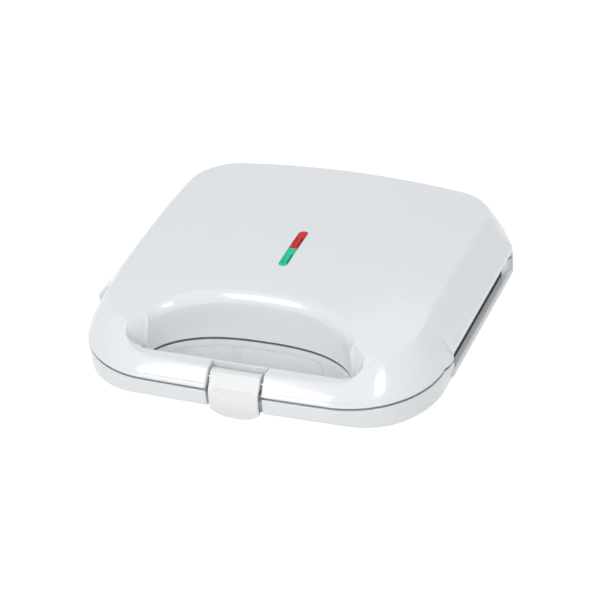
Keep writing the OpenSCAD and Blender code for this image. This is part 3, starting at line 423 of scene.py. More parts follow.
def crown(p, xy):
    """Dome of the lid: its height less a share of x squared and one of y squared each way."""
    side, ahead, behind = 100 * MM, 84 * MM, 92 * MM
    x, y = xy[..., 0] / side, xy[..., 1] - p.front_y - p.crest
    fall = np.where(y < 0, p.front_drop * (y / ahead) ** 2, p.rear_drop * (y / behind) ** 2)
    return p.lid_h - p.side_drop * x ** 2 - fall


def bar_floor(p, xy):
    """Top of the front bar: level, then a hollow of the blend radius that rises round the
    opening's ends.

    It starts a lead inside the opening's superellipse, turns a corner of radius r at the bar's
    rear edge and follows c - sqrt(c^2 - e^2) over the reach e, then a straight slope. Behind the
    bar it sinks and starts further in, so that the slope runs on into the opening's wall.
    """
    x, y, n = np.abs(xy[..., 0]), xy[..., 1], p.open_power
    r, c, sink, steeper = 12 * MM, p.bar_blend, 22 * MM, 0.78
    past = ease(y - p.bar_y, 0, 10)
    lead = (5 + 6.6 * past) * MM
    rise = np.clip(y - p.open_y, 0, None) / p.open_rise
    ring = ((x / p.open_hw) ** n + rise ** n) ** (1 / n) - 1
    behind = np.clip(y - p.bar_y - 3 * MM, 0, None) ** 2 / (20 * MM)
    side = np.clip(p.open_hw * ring + lead + behind + r, 0, None)
    e = np.clip(np.hypot(side, np.clip(p.bar_y + 2 * MM - y, 0, None)) - r, 0, None)
    turn = 0.91 * c
    bent = np.minimum(e, turn)
    slope = turn / math.sqrt(c ** 2 - turn ** 2) * (1 + steeper * past)
    return p.bar_h - sink * past + c - np.sqrt(c ** 2 - bent ** 2) + slope * (e - bent)


def lid_height(p, xy, d, s):
    """Lid's skin at a distance d from the outline: from the lip over the shoulder
    (1 - (1 - t)^n)^(1 / n) to the crown, with a flat bevel along the bar, and never above the
    bar's floor."""
    bevel_slope, blend = 1.6, 0.5 * MM
    x, y = np.abs(s.point[:, 0]), s.point[:, 1]
    t = np.clip(d / s.width, 0, 1)
    n = mix(1.2, 1.28, ease(s.width - p.side_shoulder, 0, 6))
    share = ease(y - p.window_y, -9, 18) * ease(p.window_end - y, -9, 18)
    low = mix(s.lip_top, mix(p.lip_low, p.lip_high, share), ease(d, 0, 7))
    top = mix(low, crown(p, xy), (1 - (1 - t) ** n) ** (1 / n))
    flat = np.where(y < p.back_y, 1 - ease(x, 62, 22), 0)
    top = mix(top, soft_min(top, low + bevel_slope * d, blend), flat)
    edge = mix(0.8, 1.7, ease(np.abs(xy[..., 0]), 54, 8)) * MM
    return soft_min(top, bar_floor(p, xy), edge)


def at(s, d, fade=None):
    """Plan points a distance d inside the outline. The window lips' stand-out fades over their
    first millimetres, or by the given share."""
    d = np.reshape(d, (-1, 1)) + np.zeros((len(s.point), 1))
    fade = ease(d, 0, 4.5) if fade is None else fade
    return s.point - s.normal * (d + s.lip[:, None] * fade)


def outset(s, d):
    """Plan points a distance d outside the opening's edge, into the wall."""
    return s.rim + s.inward * np.reshape(d, (-1, 1))


def cut_notch(p, s, points, outer_rows, shelf):
    """Cuts the latch's notch: in its width the outer rows go back to a plane at depth shelf, and
    the inner rows behind it. The upright edges beside it are drawn in by a quarter circle."""
    x, r = np.abs(s.point[:, 0]), p.notch_edge
    front = s.point[:, 1] < p.bar_y
    inside = front & (x < p.notch_hw)
    behind = 0.7 * MM * (np.arange(points.shape[1]) >= outer_rows)
    points[inside, :, 1] = np.maximum(points[inside, :, 1], shelf + behind)
    near = front & (x >= p.notch_hw) & (x < p.notch_hw + r)
    draw = r - np.sqrt(np.clip(r ** 2 - (p.notch_hw + r - x[near]) ** 2, 0, None))
    skin = points[near, :outer_rows]
    along = np.gradient(skin, axis=1)
    out = np.stack([0 * along[..., 1], along[..., 2], -along[..., 1]], -1)
    out /= np.linalg.norm(out, axis=-1, keepdims=True) + 1e-12
    middle = points[near].mean(axis=1, keepdims=True)
    out *= np.sign((out * (skin - middle)).sum(-1))[..., None]
    points[near, :outer_rows] = skin - out * draw[:, None, None]
    return points


def lid_rows(p, s):
    """One section of the lid: lip, shoulder, crown, rounded rim, opening wall, then back inside."""
    e, bar_edge = p.edge_r, 1.5 * MM
    foot = np.where(s.window, p.window_up, p.half_gap)
    rise = s.rim[:, 1] - p.bar_y
    back, end = ease(rise, 5, 14), ease(rise, 1, 8) * (1 - ease(rise, 14, 18))
    f = mix(bar_edge, p.rim_r, back) - 0.5 * MM * end
    fall, power = mix(bar_edge, p.rim_fall, back), mix(1, 1.55, back)
    w = np.minimum(s.width, 0.6 * np.linalg.norm(s.rim - s.point, axis=1))
    top, edge = at(s, w), outset(s, f)
    span = np.linalg.norm(edge - top, axis=1)
    rows = [(at(s, e), foot), (at(s, 0.3 * e), foot + 0.3 * e), (s.point, foot + e),
            (s.point, mix(foot + e, s.lip_top, 0.5)), (s.point, s.lip_top)]

    def skin(xy, d, inset=0):
        return xy, lid_height(p, xy, d - inset, s) - inset

    crowded = np.linspace(0, 1, 31)[1:] ** 1.7
    rows += [skin(at(s, w * t), w * t) for t in crowded]
    rows += [skin(mix(top, edge, t), w + span * t) for t in np.linspace(0, 1, 37)[1:]]
    rim_z = rows[-1][1]
    rows += [(outset(s, f * (1 - math.sin(a) ** power)),
              rim_z - fall * (1 - max(math.cos(a), 0) ** power))
             for a in np.linspace(0, math.pi / 2, 15)[1:]]
    wall_top = rim_z - fall
    rows += [(s.rim, mix(wall_top, p.half_gap + e, t)) for t in (0.25, 0.5, 0.75, 1)]
    rows.append((outset(s, e), p.half_gap))
    outer = len(rows)
    rows += [(outset(s, p.wall), p.half_gap + p.rim_relief),
             (outset(s, p.wall), wall_top - 0.4 * p.wall)]
    inner_edge = edge + s.inward * 0.8 * p.wall
    rows += [skin(mix(top, inner_edge, t), w + span * t, p.wall) for t in np.linspace(1, 0.1, 6)]
    for t in (1, 0.7, 0.4, 0.2):
        d = mix(p.wall, w, t)
        low = lid_height(p, at(s, d), d - 0.8 * p.wall, s) - 0.9 * p.wall
        rows.append((at(s, d), np.maximum(foot + t * MM, low)))
    rows.append((at(s, p.wall), np.where(s.window, foot, foot + p.rim_relief)))
    return stack(rows), outer


def wall_depth(p, xy):
    """Depth of the base's outer wall: shallow under the bar, deeper round the corners."""
    deep = mix(p.bar_base_h, p.base_wall_h, ease(np.abs(xy[:, 0]), 55, 45))
    return np.where(xy[:, 1] > p.window_y, p.base_wall_h, deep)


def underside(p, xy, d):
    """Depth of the base's underside: the wall's depth, then a smooth ramp down to the pan behind
    the bar."""
    share = ease(d, 9, 9) * ease(xy[:, 1] - p.back_y, -18, 14.4)
    return mix(wall_depth(p, xy), p.pan_h, share)


def base_rows(p, s):
    """One section of the base: rim, upright wall, rounded lower edge, pan, opening wall with its
    ledge, then back inside. Depths are measured down from the parting plane."""
    foot, deep = np.where(s.window, p.window_down, p.half_gap), wall_depth(p, s.point)
    lip_r = np.where(s.window, 2 * MM, 0.7 * MM)
    round_r, draft, ledge, inset, bead = 3.4 * MM, 0.5 * MM, 5.4 * MM, 0.8 * MM, 0.6 * MM
    w = np.minimum(18 * MM, 0.6 * np.linalg.norm(s.rim - s.point, axis=1))
    top, edge = at(s, w), outset(s, 2.3 * MM)
    span = np.linalg.norm(edge - top, axis=1)
    high, start = foot + lip_r, draft + 0.9 * round_r
    knee = np.maximum(deep - round_r, high + 0.2 * MM)
    rows = [(at(s, lip_r * side), foot + lip_r * down) for side, down in zip(*quarter(1, 6))]
    rows += [(at(s, draft * t, smooth(t)), mix(high, knee, t))
             for t in (0.17, 0.33, 0.5, 0.66, 0.83, 1)]
    rows += [(at(s, mix(start, draft, math.cos(a)), 1), mix(knee, deep, math.sin(a)))
             for a in np.linspace(0, math.pi / 2, 12)[1:]]

    def skin(xy, d, inset=0):
        return xy, underside(p, xy, d) - inset

    rows += [skin(at(s, mix(start, w, t), 1), mix(start, w, t)) for t in np.linspace(0, 1, 13)[1:]]
    rows += [skin(mix(top, edge, t), w + span * t) for t in np.linspace(0, 1, 25)[1:]]
    rim_d = rows[-1][1]
    groove = sum(smooth(1 - np.abs(s.rim[:, 0] / MM - x) / 3.2) for x in (-50, -20, 34))
    wall_in = inset + np.where(s.rim[:, 1] > p.open_y + 20 * MM, 1.4 * MM * groove, 0)
    rows += [(outset(s, wall_in + 0.45 * MM), rim_d - 0.45 * MM),
             (outset(s, wall_in), rim_d - 1.5 * MM), (outset(s, wall_in), mix(rim_d, ledge, 0.5)),
             (outset(s, wall_in), ledge + bead), (outset(s, 0.25 * MM), ledge),
             (s.rim, ledge - bead), (s.rim, mix(ledge, p.half_gap, 0.5)),
             (s.rim, p.half_gap + p.edge_r), (outset(s, p.edge_r), p.half_gap)]
    outer = len(rows)
    inner = outset(s, inset + p.wall + MM)
    pan = underside(p, outset(s, inset + p.wall), w + span)
    rows += [(inner, p.half_gap + p.rim_relief), (inner, pan - p.wall)]
    rows += [skin(mix(top, inner, t), w + span * t, p.wall) for t in (0.8, 0.6, 0.4, 0.2)]
    steps = [np.maximum(w * t, p.wall + t * MM) for t in (1, 0.7, 0.45)]
    rows += [skin(at(s, d), d, p.wall) for d in steps]
    rows += [(at(s, p.wall), deep - p.wall - draft),
             (at(s, p.wall), np.where(s.window, foot, foot + p.rim_relief))]
    return stack(rows), outer


def lower(points):
    """Turns depths below the parting plane into heights."""
    points[..., 2] = HINGE.z - points[..., 2]
    return points


def raised(points):
    """Turns heights above the parting plane into heights in the frame."""
    points[..., 2] += HINGE.z
    return points


def deck(p, s, top, shelf, place):
    """Flat deck of one half, its depth given by the shell's edge: a ring from the hand opening to
    the outline and to the front of the plate's pocket, then a strip from the outline to the
    pocket's sides and rear. In the latch's notch the ring ends at a depth shelf."""
    clear, front_r, rear_r, half = 0.3 * MM, 12 * MM, 38 * MM, 0.5 * p.wall
    pw, y0, y1 = PLATE_HIGH.x + clear, PLATE_LOW.y - clear, PLATE_HIGH.y + clear
    border = at(s, half)
    notch = (np.abs(s.point[:, 0]) < p.notch_hw + p.notch_edge) & (s.point[:, 1] < p.bar_y)
    border[notch, 1] = np.maximum(border[notch, 1], shelf)
    behind = s.point[:, 1] > y0
    reach = np.abs(s.rim[behind, 0]).max()
    line = np.stack([(p.hw - half) * s.rim[:, 0] / reach, np.full(len(s.rim), y0)], 1)
    x, y = s.point[behind].T
    side, level = np.sign(x + 1e-9), np.full(len(x), y1)
    turn = np.clip(front_r - (y - y0), 0, front_r)
    pocket = np.stack([side * (pw - front_r + np.sqrt(front_r ** 2 - turn ** 2)), y], 1)
    bend = np.stack([side * (pw - rear_r), level - rear_r], 1) + rear_r * s.normal[behind]
    pocket = np.where((y > y1 - rear_r)[:, None], bend, pocket)
    pocket = np.where((np.abs(x) < pw - rear_r)[:, None], np.stack([x, level], 1), pocket)
    foot = np.where(s.window, top, p.half_gap)[behind] + 0.05 * MM

    def slab(inner, outer, low):
        high = low + p.deck_t
        return place(stack([(inner, low), (outer, low), (outer, high), (inner, high)]))

    ring = slab(outset(s, half), np.where(behind[:, None], line, border), p.half_gap + 1.1 * MM)
    strip = slab(pocket, border[behind], foot)
    return [grid(ring, True, True), grid(strip, False, True, True)]


def barrel(p, x, l, up):
    """Hinge barrel: a turned cylinder with rounded ends, and the web that joins it to the wall."""
    r, low, high, slip = 6.5 * MM, 0.8 * MM, 8 * MM, 0.2 * MM
    drawn, ends = quarter(0.6 * MM, 4)
    radii = np.concatenate([r - drawn, (r - drawn)[::-1]])
    path = np.concatenate([x - l / 2 + ends, (x + l / 2 - ends)[::-1]])
    cylinder = np.zeros((len(path), 40, 3))
    cylinder[..., 0] = path[:, None]
    cylinder[..., 1:] = radii[:, None, None] * around(40) + [HINGE.y, HINGE.z]
    web = np.array([[p.rear_y - 3 * MM, low], [p.rear_y - 3 * MM, high], [p.rear_y - MM, high],
                    [HINGE.y, r], [HINGE.y, low]])
    block = np.zeros((2, len(web), 3))
    block[..., 0] = [[x - l / 2 + slip], [x + l / 2 - slip]]
    block[..., 1], block[..., 2] = web[:, 0], HINGE.z + up * web[:, 1]
    return [grid(cylinder, wrap_v=True, caps=True), grid(block, wrap_v=True, caps=True)]


# ---- latch and lamp window

def rounded_path(corners, radius):
    """Closed outline through corners, each replaced by a quadratic curve that starts a radius
    before it."""
    before, after = np.roll(corners, 1, 0) - corners, np.roll(corners, -1, 0) - corners
    lb, la = np.linalg.norm(before, axis=1), np.linalg.norm(after, axis=1)
    r = np.minimum(radius, 0.45 * np.minimum(lb, la))[:, None]
    a, b = corners + before / lb[:, None] * r, corners + after / la[:, None] * r
    t = np.linspace(0, 1, 5)[None, :, None]
    return curve(a[:, None], corners[:, None], b[:, None], t).reshape(-1, 2)


def refined(path, spacing):
    """Adds points to a closed outline so that none lie farther apart than the spacing."""
    after = np.roll(path, -1, 0)
    gaps = np.linalg.norm(after - path, axis=1)
    counts = np.maximum(1, np.ceil(gaps / spacing).astype(int))
    owner = np.repeat(np.arange(len(path)), counts)
    first = np.repeat(np.cumsum(counts) - counts, counts)
    t = (np.arange(counts.sum()) - first) / counts[owner]
    return mix(path[owner], after[owner], t[:, None])


def latch_surface(g, front_y):
    """Latch: its side profile carried across its width. The leaf bulges by a parabola and its
    upright edges are rounded, the lower end rises towards the sides as |x|^2.6 and four grooves
    leave ribs between them."""
    half, edge, bulge, rib_hw = g.width / 2, 0.5 * MM, 0.5 * MM, 13.2 * MM
    o, lip, inner, foot = -g.out, g.curl - g.out, g.thick - g.out, -g.down
    head = [(12.6, 2.4), (12.6, 8), (11.4, 9.6), (9.5, 10.4), (7.6, 10.6), (5.6, 10.2), (-0.2, 1.4)]
    corners = [(y * MM, z * MM) for y, z in head] + [
        (o + 0.5 * MM, -0.6 * MM), (o, -7.8 * MM), (o + 0.3 * MM, -10.5 * MM),
        (lip - 0.9 * MM, foot + 3.4 * MM), (lip, foot), (lip + 2.5 * MM, foot),
        (g.hook_in, -12.2 * MM), (g.hook_in, -10.2 * MM), (inner, -9.6 * MM), (inner, 0.2 * MM),
        (3 * MM, 2.4 * MM)]
    profile = refined(rounded_path(np.array(corners), 0.8 * MM), 0.28 * MM)
    along = np.roll(profile, -1, 0) - np.roll(profile, 1, 0)
    out = np.stack([along[:, 1], -along[:, 0]], 1)
    out /= np.linalg.norm(out, axis=1, keepdims=True)
    out *= np.sign(((profile - profile.mean(0)) * out).sum())
    drawn, ends = quarter(edge, 6)
    level = np.linspace(edge - half, half - edge, 63)[1:-1]
    x = np.concatenate([ends - half, level, (half - ends)[::-1]])[:, None]
    drawn = np.concatenate([drawn, 0 * level, drawn[::-1]])[:, None]
    y, z = (profile[:, k] - out[:, k] * drawn for k in (0, 1))
    x = np.broadcast_to(x, y.shape)
    away = np.abs(x)
    front = smooth((-out[:, 0] - 0.1) / 0.4) * (profile[:, 1] < 9 * MM)
    ribs = sum(smooth(1 - np.abs(z / MM - middle) / 0.7) for middle in (1.8, 0.3, -1.2, -2.7))
    y = y + front * bulge * (x / half) ** 2
    y = y + g.rib_h * ribs * front * ease(rib_hw - away, 0, 0.8)
    turn = np.clip((away - half + g.edge_r) / g.edge_r, 0, 1)
    y = np.maximum(y, o + g.edge_r * (1 - np.sqrt(1 - turn ** 2)))
    z = -soft_min(-z, g.down - 6 * MM * (away / half) ** 2.6, 0.6 * MM)
    return raised(np.stack([x, y + front_y, z], -1))


def lens_surface(p, side):
    """One lens: half of a slot with a round end. Rings of the outline shrink towards its middle
    while the top follows the lid's crown, with a rounded edge."""
    gap, sunk = 0.22 * MM, 0.14 * MM
    r, half = SLOT_R - gap, SLOT_HALF - gap
    arc = r * turned(np.linspace(0, math.pi, 25)) + np.array([0, half - r])
    start = np.array([[r - 0.3 * MM, 0.03 * MM], [r, 0.3 * MM]])
    loop = refined(np.concatenate([start, arc, start[::-1] * [-1, 1]]), 0.5 * MM)
    middle = np.stack([0 * loop[:, 0], np.clip(loop[:, 1], r, half - r)], 1)
    rows = []
    for share, down in ((1, 5), (1, 1.2), (1, 0.5), (0.985, 0.24), (0.95, 0.09), (0.9, 0.03),
                        (0.75, 0), (0.5, -0.02), (0.25, -0.03), (0.02, -0.03)):
        xy = mix(middle, loop, share) * [1, side] + np.array([0, LENS_Y])
        rows.append((xy, crown(p, xy) - sunk - down * MM))
    return raised(stack(rows))


def cut_slot(shell):
    """Cuts the lamp window's slot, a prism with round ends, through the shell."""
    loop = SLOT_R * around(48)
    loop[:, 1] += LENS_Y + (SLOT_HALF - SLOT_R) * np.sign(loop[:, 1] + 1e-9)
    prism = stack([(loop, LENS_LOW.z - 2 * MM), (loop, LENS_HIGH.z + 6 * MM)])
    cutter = solid("slot_cutter", [grid(prism.transpose(1, 0, 2), False, True, True)])
    cut = shell.modifiers.new("slot", "BOOLEAN")
    cut.operation, cut.object, cut.solver = "DIFFERENCE", cutter, "EXACT"
    graph = bpy.context.evaluated_depsgraph_get()
    result = bpy.data.meshes.new_from_object(shell.evaluated_get(graph))
    shell.modifiers.clear()
    shell.data = result
    result.set_sharp_from_angle(angle=math.radians(SHELL_SHARP))
    bpy.data.objects.remove(cutter)


# ---- finishes

def fill(tree, made, values):
    """Gives a node's inputs, by name or place, plain values or links from other outputs."""
    for key, value in values.items():
        if isinstance(value, bpy.types.NodeSocket):
            tree.links.new(value, made.inputs[key])
        else:
            made.inputs[key].default_value = value
    return made


def node(tree, kind, values):
    """New shader node with its inputs filled."""
    return fill(tree, tree.nodes.new(kind), values)


def calc(tree, operation, *values):
    """Output of a math node over sockets or numbers."""
    made = node(tree, "ShaderNodeMath", dict(enumerate(values)))
    made.operation = operation
    return made.outputs[0]


def material(name):
    """New material, with its node tree and its main shader."""
    m = bpy.data.materials.new(name)
    m.use_nodes = True
    return m, m.node_tree, m.node_tree.nodes["Principled BSDF"]


def finish(name, base, rough, metal=0.0, coat=0.0, coat_rough=0.05, tint=0.03, grain=900, patch=25,
           bump=0.02, stretch=(1, 1, 1), transmission=0.0):
    """Moulded or metal surface: the colour drifts a little over broad patches, the roughness
    follows another noise, and a fine bump gives the skin its texture."""
    m, tree, shader = material(name)
    place = tree.nodes.new("ShaderNodeTexCoord").outputs["Object"]
    mapping = node(tree, "ShaderNodeMapping", {"Vector": place, "Scale": stretch})

    def noise(scale, detail):
        values = {"Vector": mapping.outputs["Vector"], "Scale": scale, "Detail": detail}
        return node(tree, "ShaderNodeTexNoise", values).outputs["Fac"]

    ramp = node(tree, "ShaderNodeValToRGB", {"Fac": noise(patch, 3)})
    for end, position, share in zip(ramp.color_ramp.elements, (0.3, 0.7), (1 - tint, 1 + tint)):
        end.position, end.color = position, [min(1, c * share) for c in base] + [1]
    spread = node(tree, "ShaderNodeMapRange", {
        "Value": noise(patch * 4, 4), "To Min": rough * 0.85, "To Max": rough * 1.2})
    relief = node(tree, "ShaderNodeBump", {
        "Height": noise(grain, 2), "Strength": bump, "Distance": 0.1 * MM})
    fill(tree, shader, {
        "Base Color": ramp.outputs["Color"], "Roughness": spread.outputs["Result"],
        "Normal": relief.outputs["Normal"], "Metallic": metal, "Coat Weight": coat,
        "Coat Roughness": coat_rough, "IOR": 1.46, "Transmission Weight": transmission})
    return m


def lens_finish(name, base, y_from, y_to):
    """Clear coloured plastic over the lamp's holder: two dark streaks run along it where the
    walls show."""
    m = finish(name, base, 0.15, tint=0.12, patch=260, bump=0.05)
    tree = m.node_tree
    shader = tree.nodes["Principled BSDF"]
    split = node(tree, "ShaderNodeSeparateXYZ", {
        "Vector": tree.nodes.new("ShaderNodeTexCoord").outputs["Object"]})

    def window(axis, centre, half, soft):
        """1 inside centre +- half, easing to 0 over soft."""
        away = calc(tree, "ABSOLUTE", calc(tree, "SUBTRACT", split.outputs[axis], centre))
        fade = node(tree, "ShaderNodeMapRange", {
            "Value": away, "From Min": half, "From Max": half + soft, "To Min": 1, "To Max": 0})
        fade.interpolation_type = "SMOOTHSTEP"
        return fade.outputs["Result"]

    along = window("Y", (y_from + y_to) / 2, 0.4 * (y_to - y_from), 1.2 * MM)
    right = calc(tree, "MULTIPLY", window("X", 1.9 * MM, 0.35 * MM, 0.5 * MM), 0.8)
    left = calc(tree, "MULTIPLY", window("X", -1.5 * MM, 0.15 * MM, 0.5 * MM), 0.5)
    shade = tree.nodes.new("ShaderNodeMix")
    shade.data_type = "RGBA"
    fill(tree, shade, {
        "Factor": calc(tree, "MULTIPLY", along, calc(tree, "ADD", right, left)),
        "A": shader.inputs["Base Color"].links[0].from_socket,
        "B": [c * 0.12 for c in base] + [1]})
    fill(tree, shader, {"Base Color": shade.outputs["Result"], "Specular IOR Level": 0.1})
    return m


def dress(nodes, slot, name, base, rough, **look):
    """Gives CAD nodes a finish."""
    made = finish(name, base, rough, **look)
    for key in nodes:
        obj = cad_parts[key]
        obj.data.materials.clear()
        obj.data.materials.append(made)


# ---- operators

def given(scene):
    """The outline's sizes, its sections and the colours set for the finishes."""
    p = housing_plan(scene)
    return p, stations(p), scene.donut_finish


class DONUT_OT_lid(bpy.types.Operator):
    """Builds the lid's shell with its deck and hinge barrels"""
    bl_idname = "donut.lid"
    bl_label = "Lid"

    def execute(self, context):
        p, s, look = given(context.scene)
        white = finish("lid_plastic", look.lid, 0.2, coat=0.5, coat_rough=0.03, tint=0.008,
                       bump=0.015)
        points = cut_notch(p, s, *lid_rows(p, s), p.bar_y - 2.3 * MM)
        shell = piece("lid_shell", [grid(raised(points), True, True)], "lid", white,
                      ["lid_housing"], "lid_plastic", SHELL_SHARP)
        cut_slot(shell)
        piece("lid_deck", deck(p, s, p.window_up, p.bar_y - 1.2 * MM, raised), "lid", white,
              slot="lid_plastic")
        parts = [b for side in (-1, 1) for b in barrel(p, side * SIDE_X, SIDE_L, 1)]
        parts += barrel(p, PAIR_X, PAIR_L, 1)
        piece("lid_barrels", parts, "lid", white, slot="lid_plastic")
        return {"FINISHED"}


class DONUT_OT_base(bpy.types.Operator):
    """Builds the base's shell with its deck, hinge barrels and catch ledge"""
    bl_idname = "donut.base"
    bl_label = "Base"

    def execute(self, context):
        p, s, look = given(context.scene)
        white = finish("base_plastic", look.base, 0.24, coat=0.4, tint=0.008, bump=0.015)
        points = cut_notch(p, s, *base_rows(p, s), p.front_y + 4.1 * MM)
        piece("base_shell", [grid(lower(points), True, True)], "base", white, ["base_housing"],
              "base_plastic", SHELL_SHARP)
        piece("base_deck", deck(p, s, p.window_down, p.front_y + 5 * MM, lower), "base", white,
              slot="base_plastic")
        parts = [b for side in (-1, 1) for t in (-1, 1)
                 for b in barrel(p, side * SIDE_X + t * LUG_X, LUG_L, -1)]
        parts += barrel(p, -PAIR_X, PAIR_L, -1)
        ledge_y = p.front_y + context.scene.donut_latch.hook_in + 0.3 * MM
        ledge = rounded_bar((-p.notch_hw, ledge_y, HINGE.z - 9 * MM),
                            (p.notch_hw, p.front_y + 4.6 * MM, HINGE.z - 4 * MM))
        parts.append(grid(ledge, wrap_v=True, caps=True))
        piece("base_barrels", parts, "base", white, slot="base_plastic")
        return {"FINISHED"}


class DONUT_OT_latch(bpy.types.Operator):
    """Builds the front latch"""
    bl_idname = "donut.latch"
    bl_label = "Latch"

    def execute(self, context):
        p, _, look = given(context.scene)
        white = finish("latch_plastic", look.latch, 0.42, coat=0.1, coat_rough=0.3, tint=0.012,
                       bump=0.03)
        points = latch_surface(context.scene.donut_latch, p.front_y)
        piece("latch_leaf", [grid(points, wrap_v=True, caps=True)], "latch", white, ["latch"],
              "latch_plastic", 50)
        return {"FINISHED"}


class DONUT_OT_lenses(bpy.types.Operator):
    """Builds the red and green lenses of the lamp window"""
    bl_idname = "donut.lenses"
    bl_label = "Lamp window"

    def execute(self, context):
        p, _, look = given(context.scene)
        reach = 18 * MM
        red = lens_finish("power_plastic", look.power, LENS_Y + 1.5 * MM, LENS_Y + 0.7 * reach)
        green = lens_finish("ready_plastic", look.ready, LENS_Y - 0.95 * reach,
                            LENS_Y - 0.35 * reach)
        for name, side, lens, replaced, slot in (
                ("power_cover", 1, red, "power_lens", "red_lens"),
                ("ready_cover", -1, green, "ready_lens", "green_lens")):
            points = lens_surface(p, side).transpose(1, 0, 2)
            piece(name, [grid(points, False, True, True)], "lid", lens, [replaced], slot, 40)
        return {"FINISHED"}


class DONUT_OT_fittings(bpy.types.Operator):
    """Gives the plates, heaters, screws, wires, feet and other fittings their finishes"""
    bl_idname = "donut.fittings"
    bl_label = "Plates and fittings"

    def execute(self, context):
        look = context.scene.donut_finish
        dress(["upper_plate", "lower_plate"], "plate_coating", "coating", look.coating, 0.34,
              coat=0.15, coat_rough=0.2, tint=0.25, patch=900, grain=2600, bump=0.12)
        dress(["upper_element", "lower_element"], "heater_steel", "heater_tube",
              (0.3, 0.29, 0.27), 0.38, metal=1, tint=0.12, patch=90, bump=0.08)
        dress(["upper_heat_shield", "lower_heat_shield"], "shield_sheet", "shield_sheet",
              (0.62, 0.63, 0.64), 0.32, metal=1, tint=0.05, patch=40, grain=700, bump=0.06,
              stretch=(1, 12, 1))
        dress(["upper_shield_screws", "lower_shield_screws", "upper_plate_screws",
               "lower_plate_screws", "lamp_holder_screws"], "screw_steel", "bright_steel",
              (0.58, 0.58, 0.57), 0.28, metal=1, tint=0.06, patch=300, bump=0.05)
        dress(["hinge_pins", "latch_pin"], "pin_steel", "pin_steel", (0.5, 0.5, 0.5), 0.24,
              metal=1, tint=0.05, patch=300, bump=0.04, stretch=(0.1, 1, 1))
        dress(["upper_element_ends", "lower_element_ends", "upper_thermostat",
               "lower_thermostat", "terminal_block", "lamp_resistors"], "ceramic", "ceramic",
              (0.74, 0.69, 0.58), 0.5, tint=0.06, patch=220, bump=0.12)
        dress(["thermal_fuse"], "ceramic", "fuse", (0.6, 0.52, 0.4), 0.45, tint=0.08,
              patch=300, bump=0.08)
        dress(["front_feet", "rear_feet", "cord_gland"], "foot_rubber", "rubber", look.rubber,
              0.7, tint=0.2, patch=160, grain=1800, bump=0.25)
        dress(["base_leads", "lid_leads"], "lead_sleeve", "sleeving", (0.42, 0.16, 0.09), 0.6,
              tint=0.15, patch=500, grain=2400, bump=0.3)
        dress(["power_lamp", "ready_lamp"], "lamp_glass", "lamp_glass", (0.85, 0.6, 0.4), 0.08,
              tint=0.1, patch=200, transmission=0.6)
        dress(["lamp_holder"], "holder_plastic", "holder", (0.66, 0.65, 0.62), 0.45, patch=80,
              bump=0.05)
        return {"FINISHED"}


# ---- stage

def softbox(name, place, target, size, tall, power):
    """Rectangular area lamp at a place, turned to its target."""
    lamp = bpy.data.lights.new(name, "AREA")
    lamp.shape, lamp.size, lamp.size_y, lamp.energy = "RECTANGLE", size, tall, power
    obj = linked(name, lamp)
    obj.location = place
    obj.rotation_euler = (Vector(target) - Vector(place)).to_track_quat("-Z", "Y").to_euler()


def seen_white(tree):
    """1 for camera, glossy and transmission rays."""
    path = tree.nodes.new("ShaderNodeLightPath").outputs
    seen = calc(tree, "MAXIMUM", path["Is Camera Ray"], path["Is Glossy Ray"])
    return calc(tree, "MAXIMUM", seen, path["Is Transmission Ray"])


def backdrop(scene):
    """Pale world, brighter to the camera and in reflections than as light."""
    scene.world = bpy.data.worlds.new("studio")
    scene.world.use_nodes = True
    tree = scene.world.node_tree
    level = node(tree, "ShaderNodeMapRange", {
        "Value": seen_white(tree), "To Min": 0.65, "To Max": 1.06})
    fill(tree, tree.nodes["Background"], {
        "Color": (0.96, 0.98, 1.0, 1), "Strength": level.outputs["Result"]})


def paper(base):
    """Pale floor that looks nearly as bright as the world behind it."""
    size = 3.0
    mesh = bpy.data.meshes.new("floor")
    mesh.from_pydata([(-size, -size, 0), (size, -size, 0), (size, size, 0), (-size, size, 0)],
                     [], [(0, 1, 2, 3)])
    floor = linked("floor", mesh)
    m, tree, shader = material("floor_paper")
    fill(tree, shader, {"Base Color": (*base, 1), "Roughness": 0.8})
    glow = node(tree, "ShaderNodeEmission", {"Strength": 1.05})
    blend = node(tree, "ShaderNodeMixShader", {
        "Fac": calc(tree, "MULTIPLY", seen_white(tree), 0.95),
        1: shader.outputs["BSDF"], 2: glow.outputs["Emission"]})
    fill(tree, tree.nodes["Material Output"], {"Surface": blend.outputs["Shader"]})
    mesh.materials.append(m)


def camera(scene, st):
    """Camera at its distance from the target, turned by its azimuth, elevation and roll."""
    turn = Matrix()
    for degrees, axis in ((st.azimuth, "Z"), (90 - st.elevation, "X"), (st.roll, "Z")):
        turn @= Matrix.Rotation(math.radians(degrees), 4, axis)
    data = bpy.data.cameras.new("camera")
    data.lens, data.sensor_width, data.clip_end = st.lens, 36, 20
    obj = linked("camera", data)
    target = Matrix.Translation((st.target_x, HINGE.y + st.target_y, st.target_z))
    obj.matrix_world = target @ turn @ Matrix.Translation((0, 0, st.distance))
    scene.camera = obj


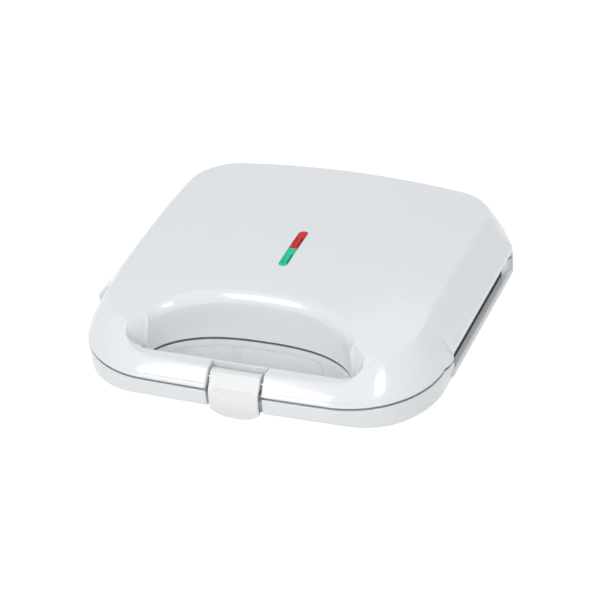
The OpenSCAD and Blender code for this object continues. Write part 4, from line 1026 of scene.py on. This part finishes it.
class DONUT_OT_stage(bpy.types.Operator):
    """Sets the pale floor, the soft studio light and the camera"""
    bl_idname = "donut.stage"
    bl_label = "Stage"

    def execute(self, context):
        scene = context.scene
        scene.view_settings.view_transform = "Standard"
        backdrop(scene)
        paper(scene.donut_stage.floor)
        softbox("front_left", (-0.62, -1.45, 1.0), (0, -0.11, 0.045), 0.56, 0.5, 9)
        softbox("front_right", (1.1, -1.1, 1.15), (0.08, -0.08, 0.05), 0.4, 0.4, 6)
        softbox("top", (0.2, 0.6, 1.9), (0, 0, 0.03), 1.6, 1.6, 5)
        camera(scene, scene.donut_stage)
        return {"FINISHED"}


class DONUT_PT_panel(bpy.types.Panel):
    """Builds the pieces and lists their sizes"""
    bl_idname = "DONUT_PT_panel"
    bl_label = "Donut maker"
    bl_space_type = "VIEW_3D"
    bl_region_type = "UI"
    bl_category = "Donut maker"

    def draw(self, context):
        for operator in OPERATORS:
            self.layout.operator(operator.bl_idname)
        for key in SETTINGS:
            group = getattr(context.scene, key)
            box = self.layout.box()
            box.label(text=key.split("_")[1].capitalize())
            for name in group.__annotations__:
                box.prop(group, name)


OPERATORS = (DONUT_OT_stage, DONUT_OT_lid, DONUT_OT_base, DONUT_OT_latch, DONUT_OT_lenses,
             DONUT_OT_fittings)
SETTINGS = {"donut_housing": HousingSettings, "donut_latch": LatchSettings,
            "donut_finish": FinishSettings, "donut_stage": StageSettings}
CLASSES = (*SETTINGS.values(), *OPERATORS, DONUT_PT_panel)


def register():
    for cls in CLASSES:
        bpy.utils.register_class(cls)
    for key, cls in SETTINGS.items():
        setattr(bpy.types.Scene, key, PointerProperty(type=cls))


def unregister():
    for key in SETTINGS:
        delattr(bpy.types.Scene, key)
    for cls in reversed(CLASSES):
        bpy.utils.unregister_class(cls)


def main():
    """Registers the add-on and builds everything."""
    register()
    bpy.ops.donut.stage()
    bpy.ops.donut.lid()
    bpy.ops.donut.base()
    bpy.ops.donut.latch()
    bpy.ops.donut.lenses()
    bpy.ops.donut.fittings()


if __name__ == "__main__":
    main()
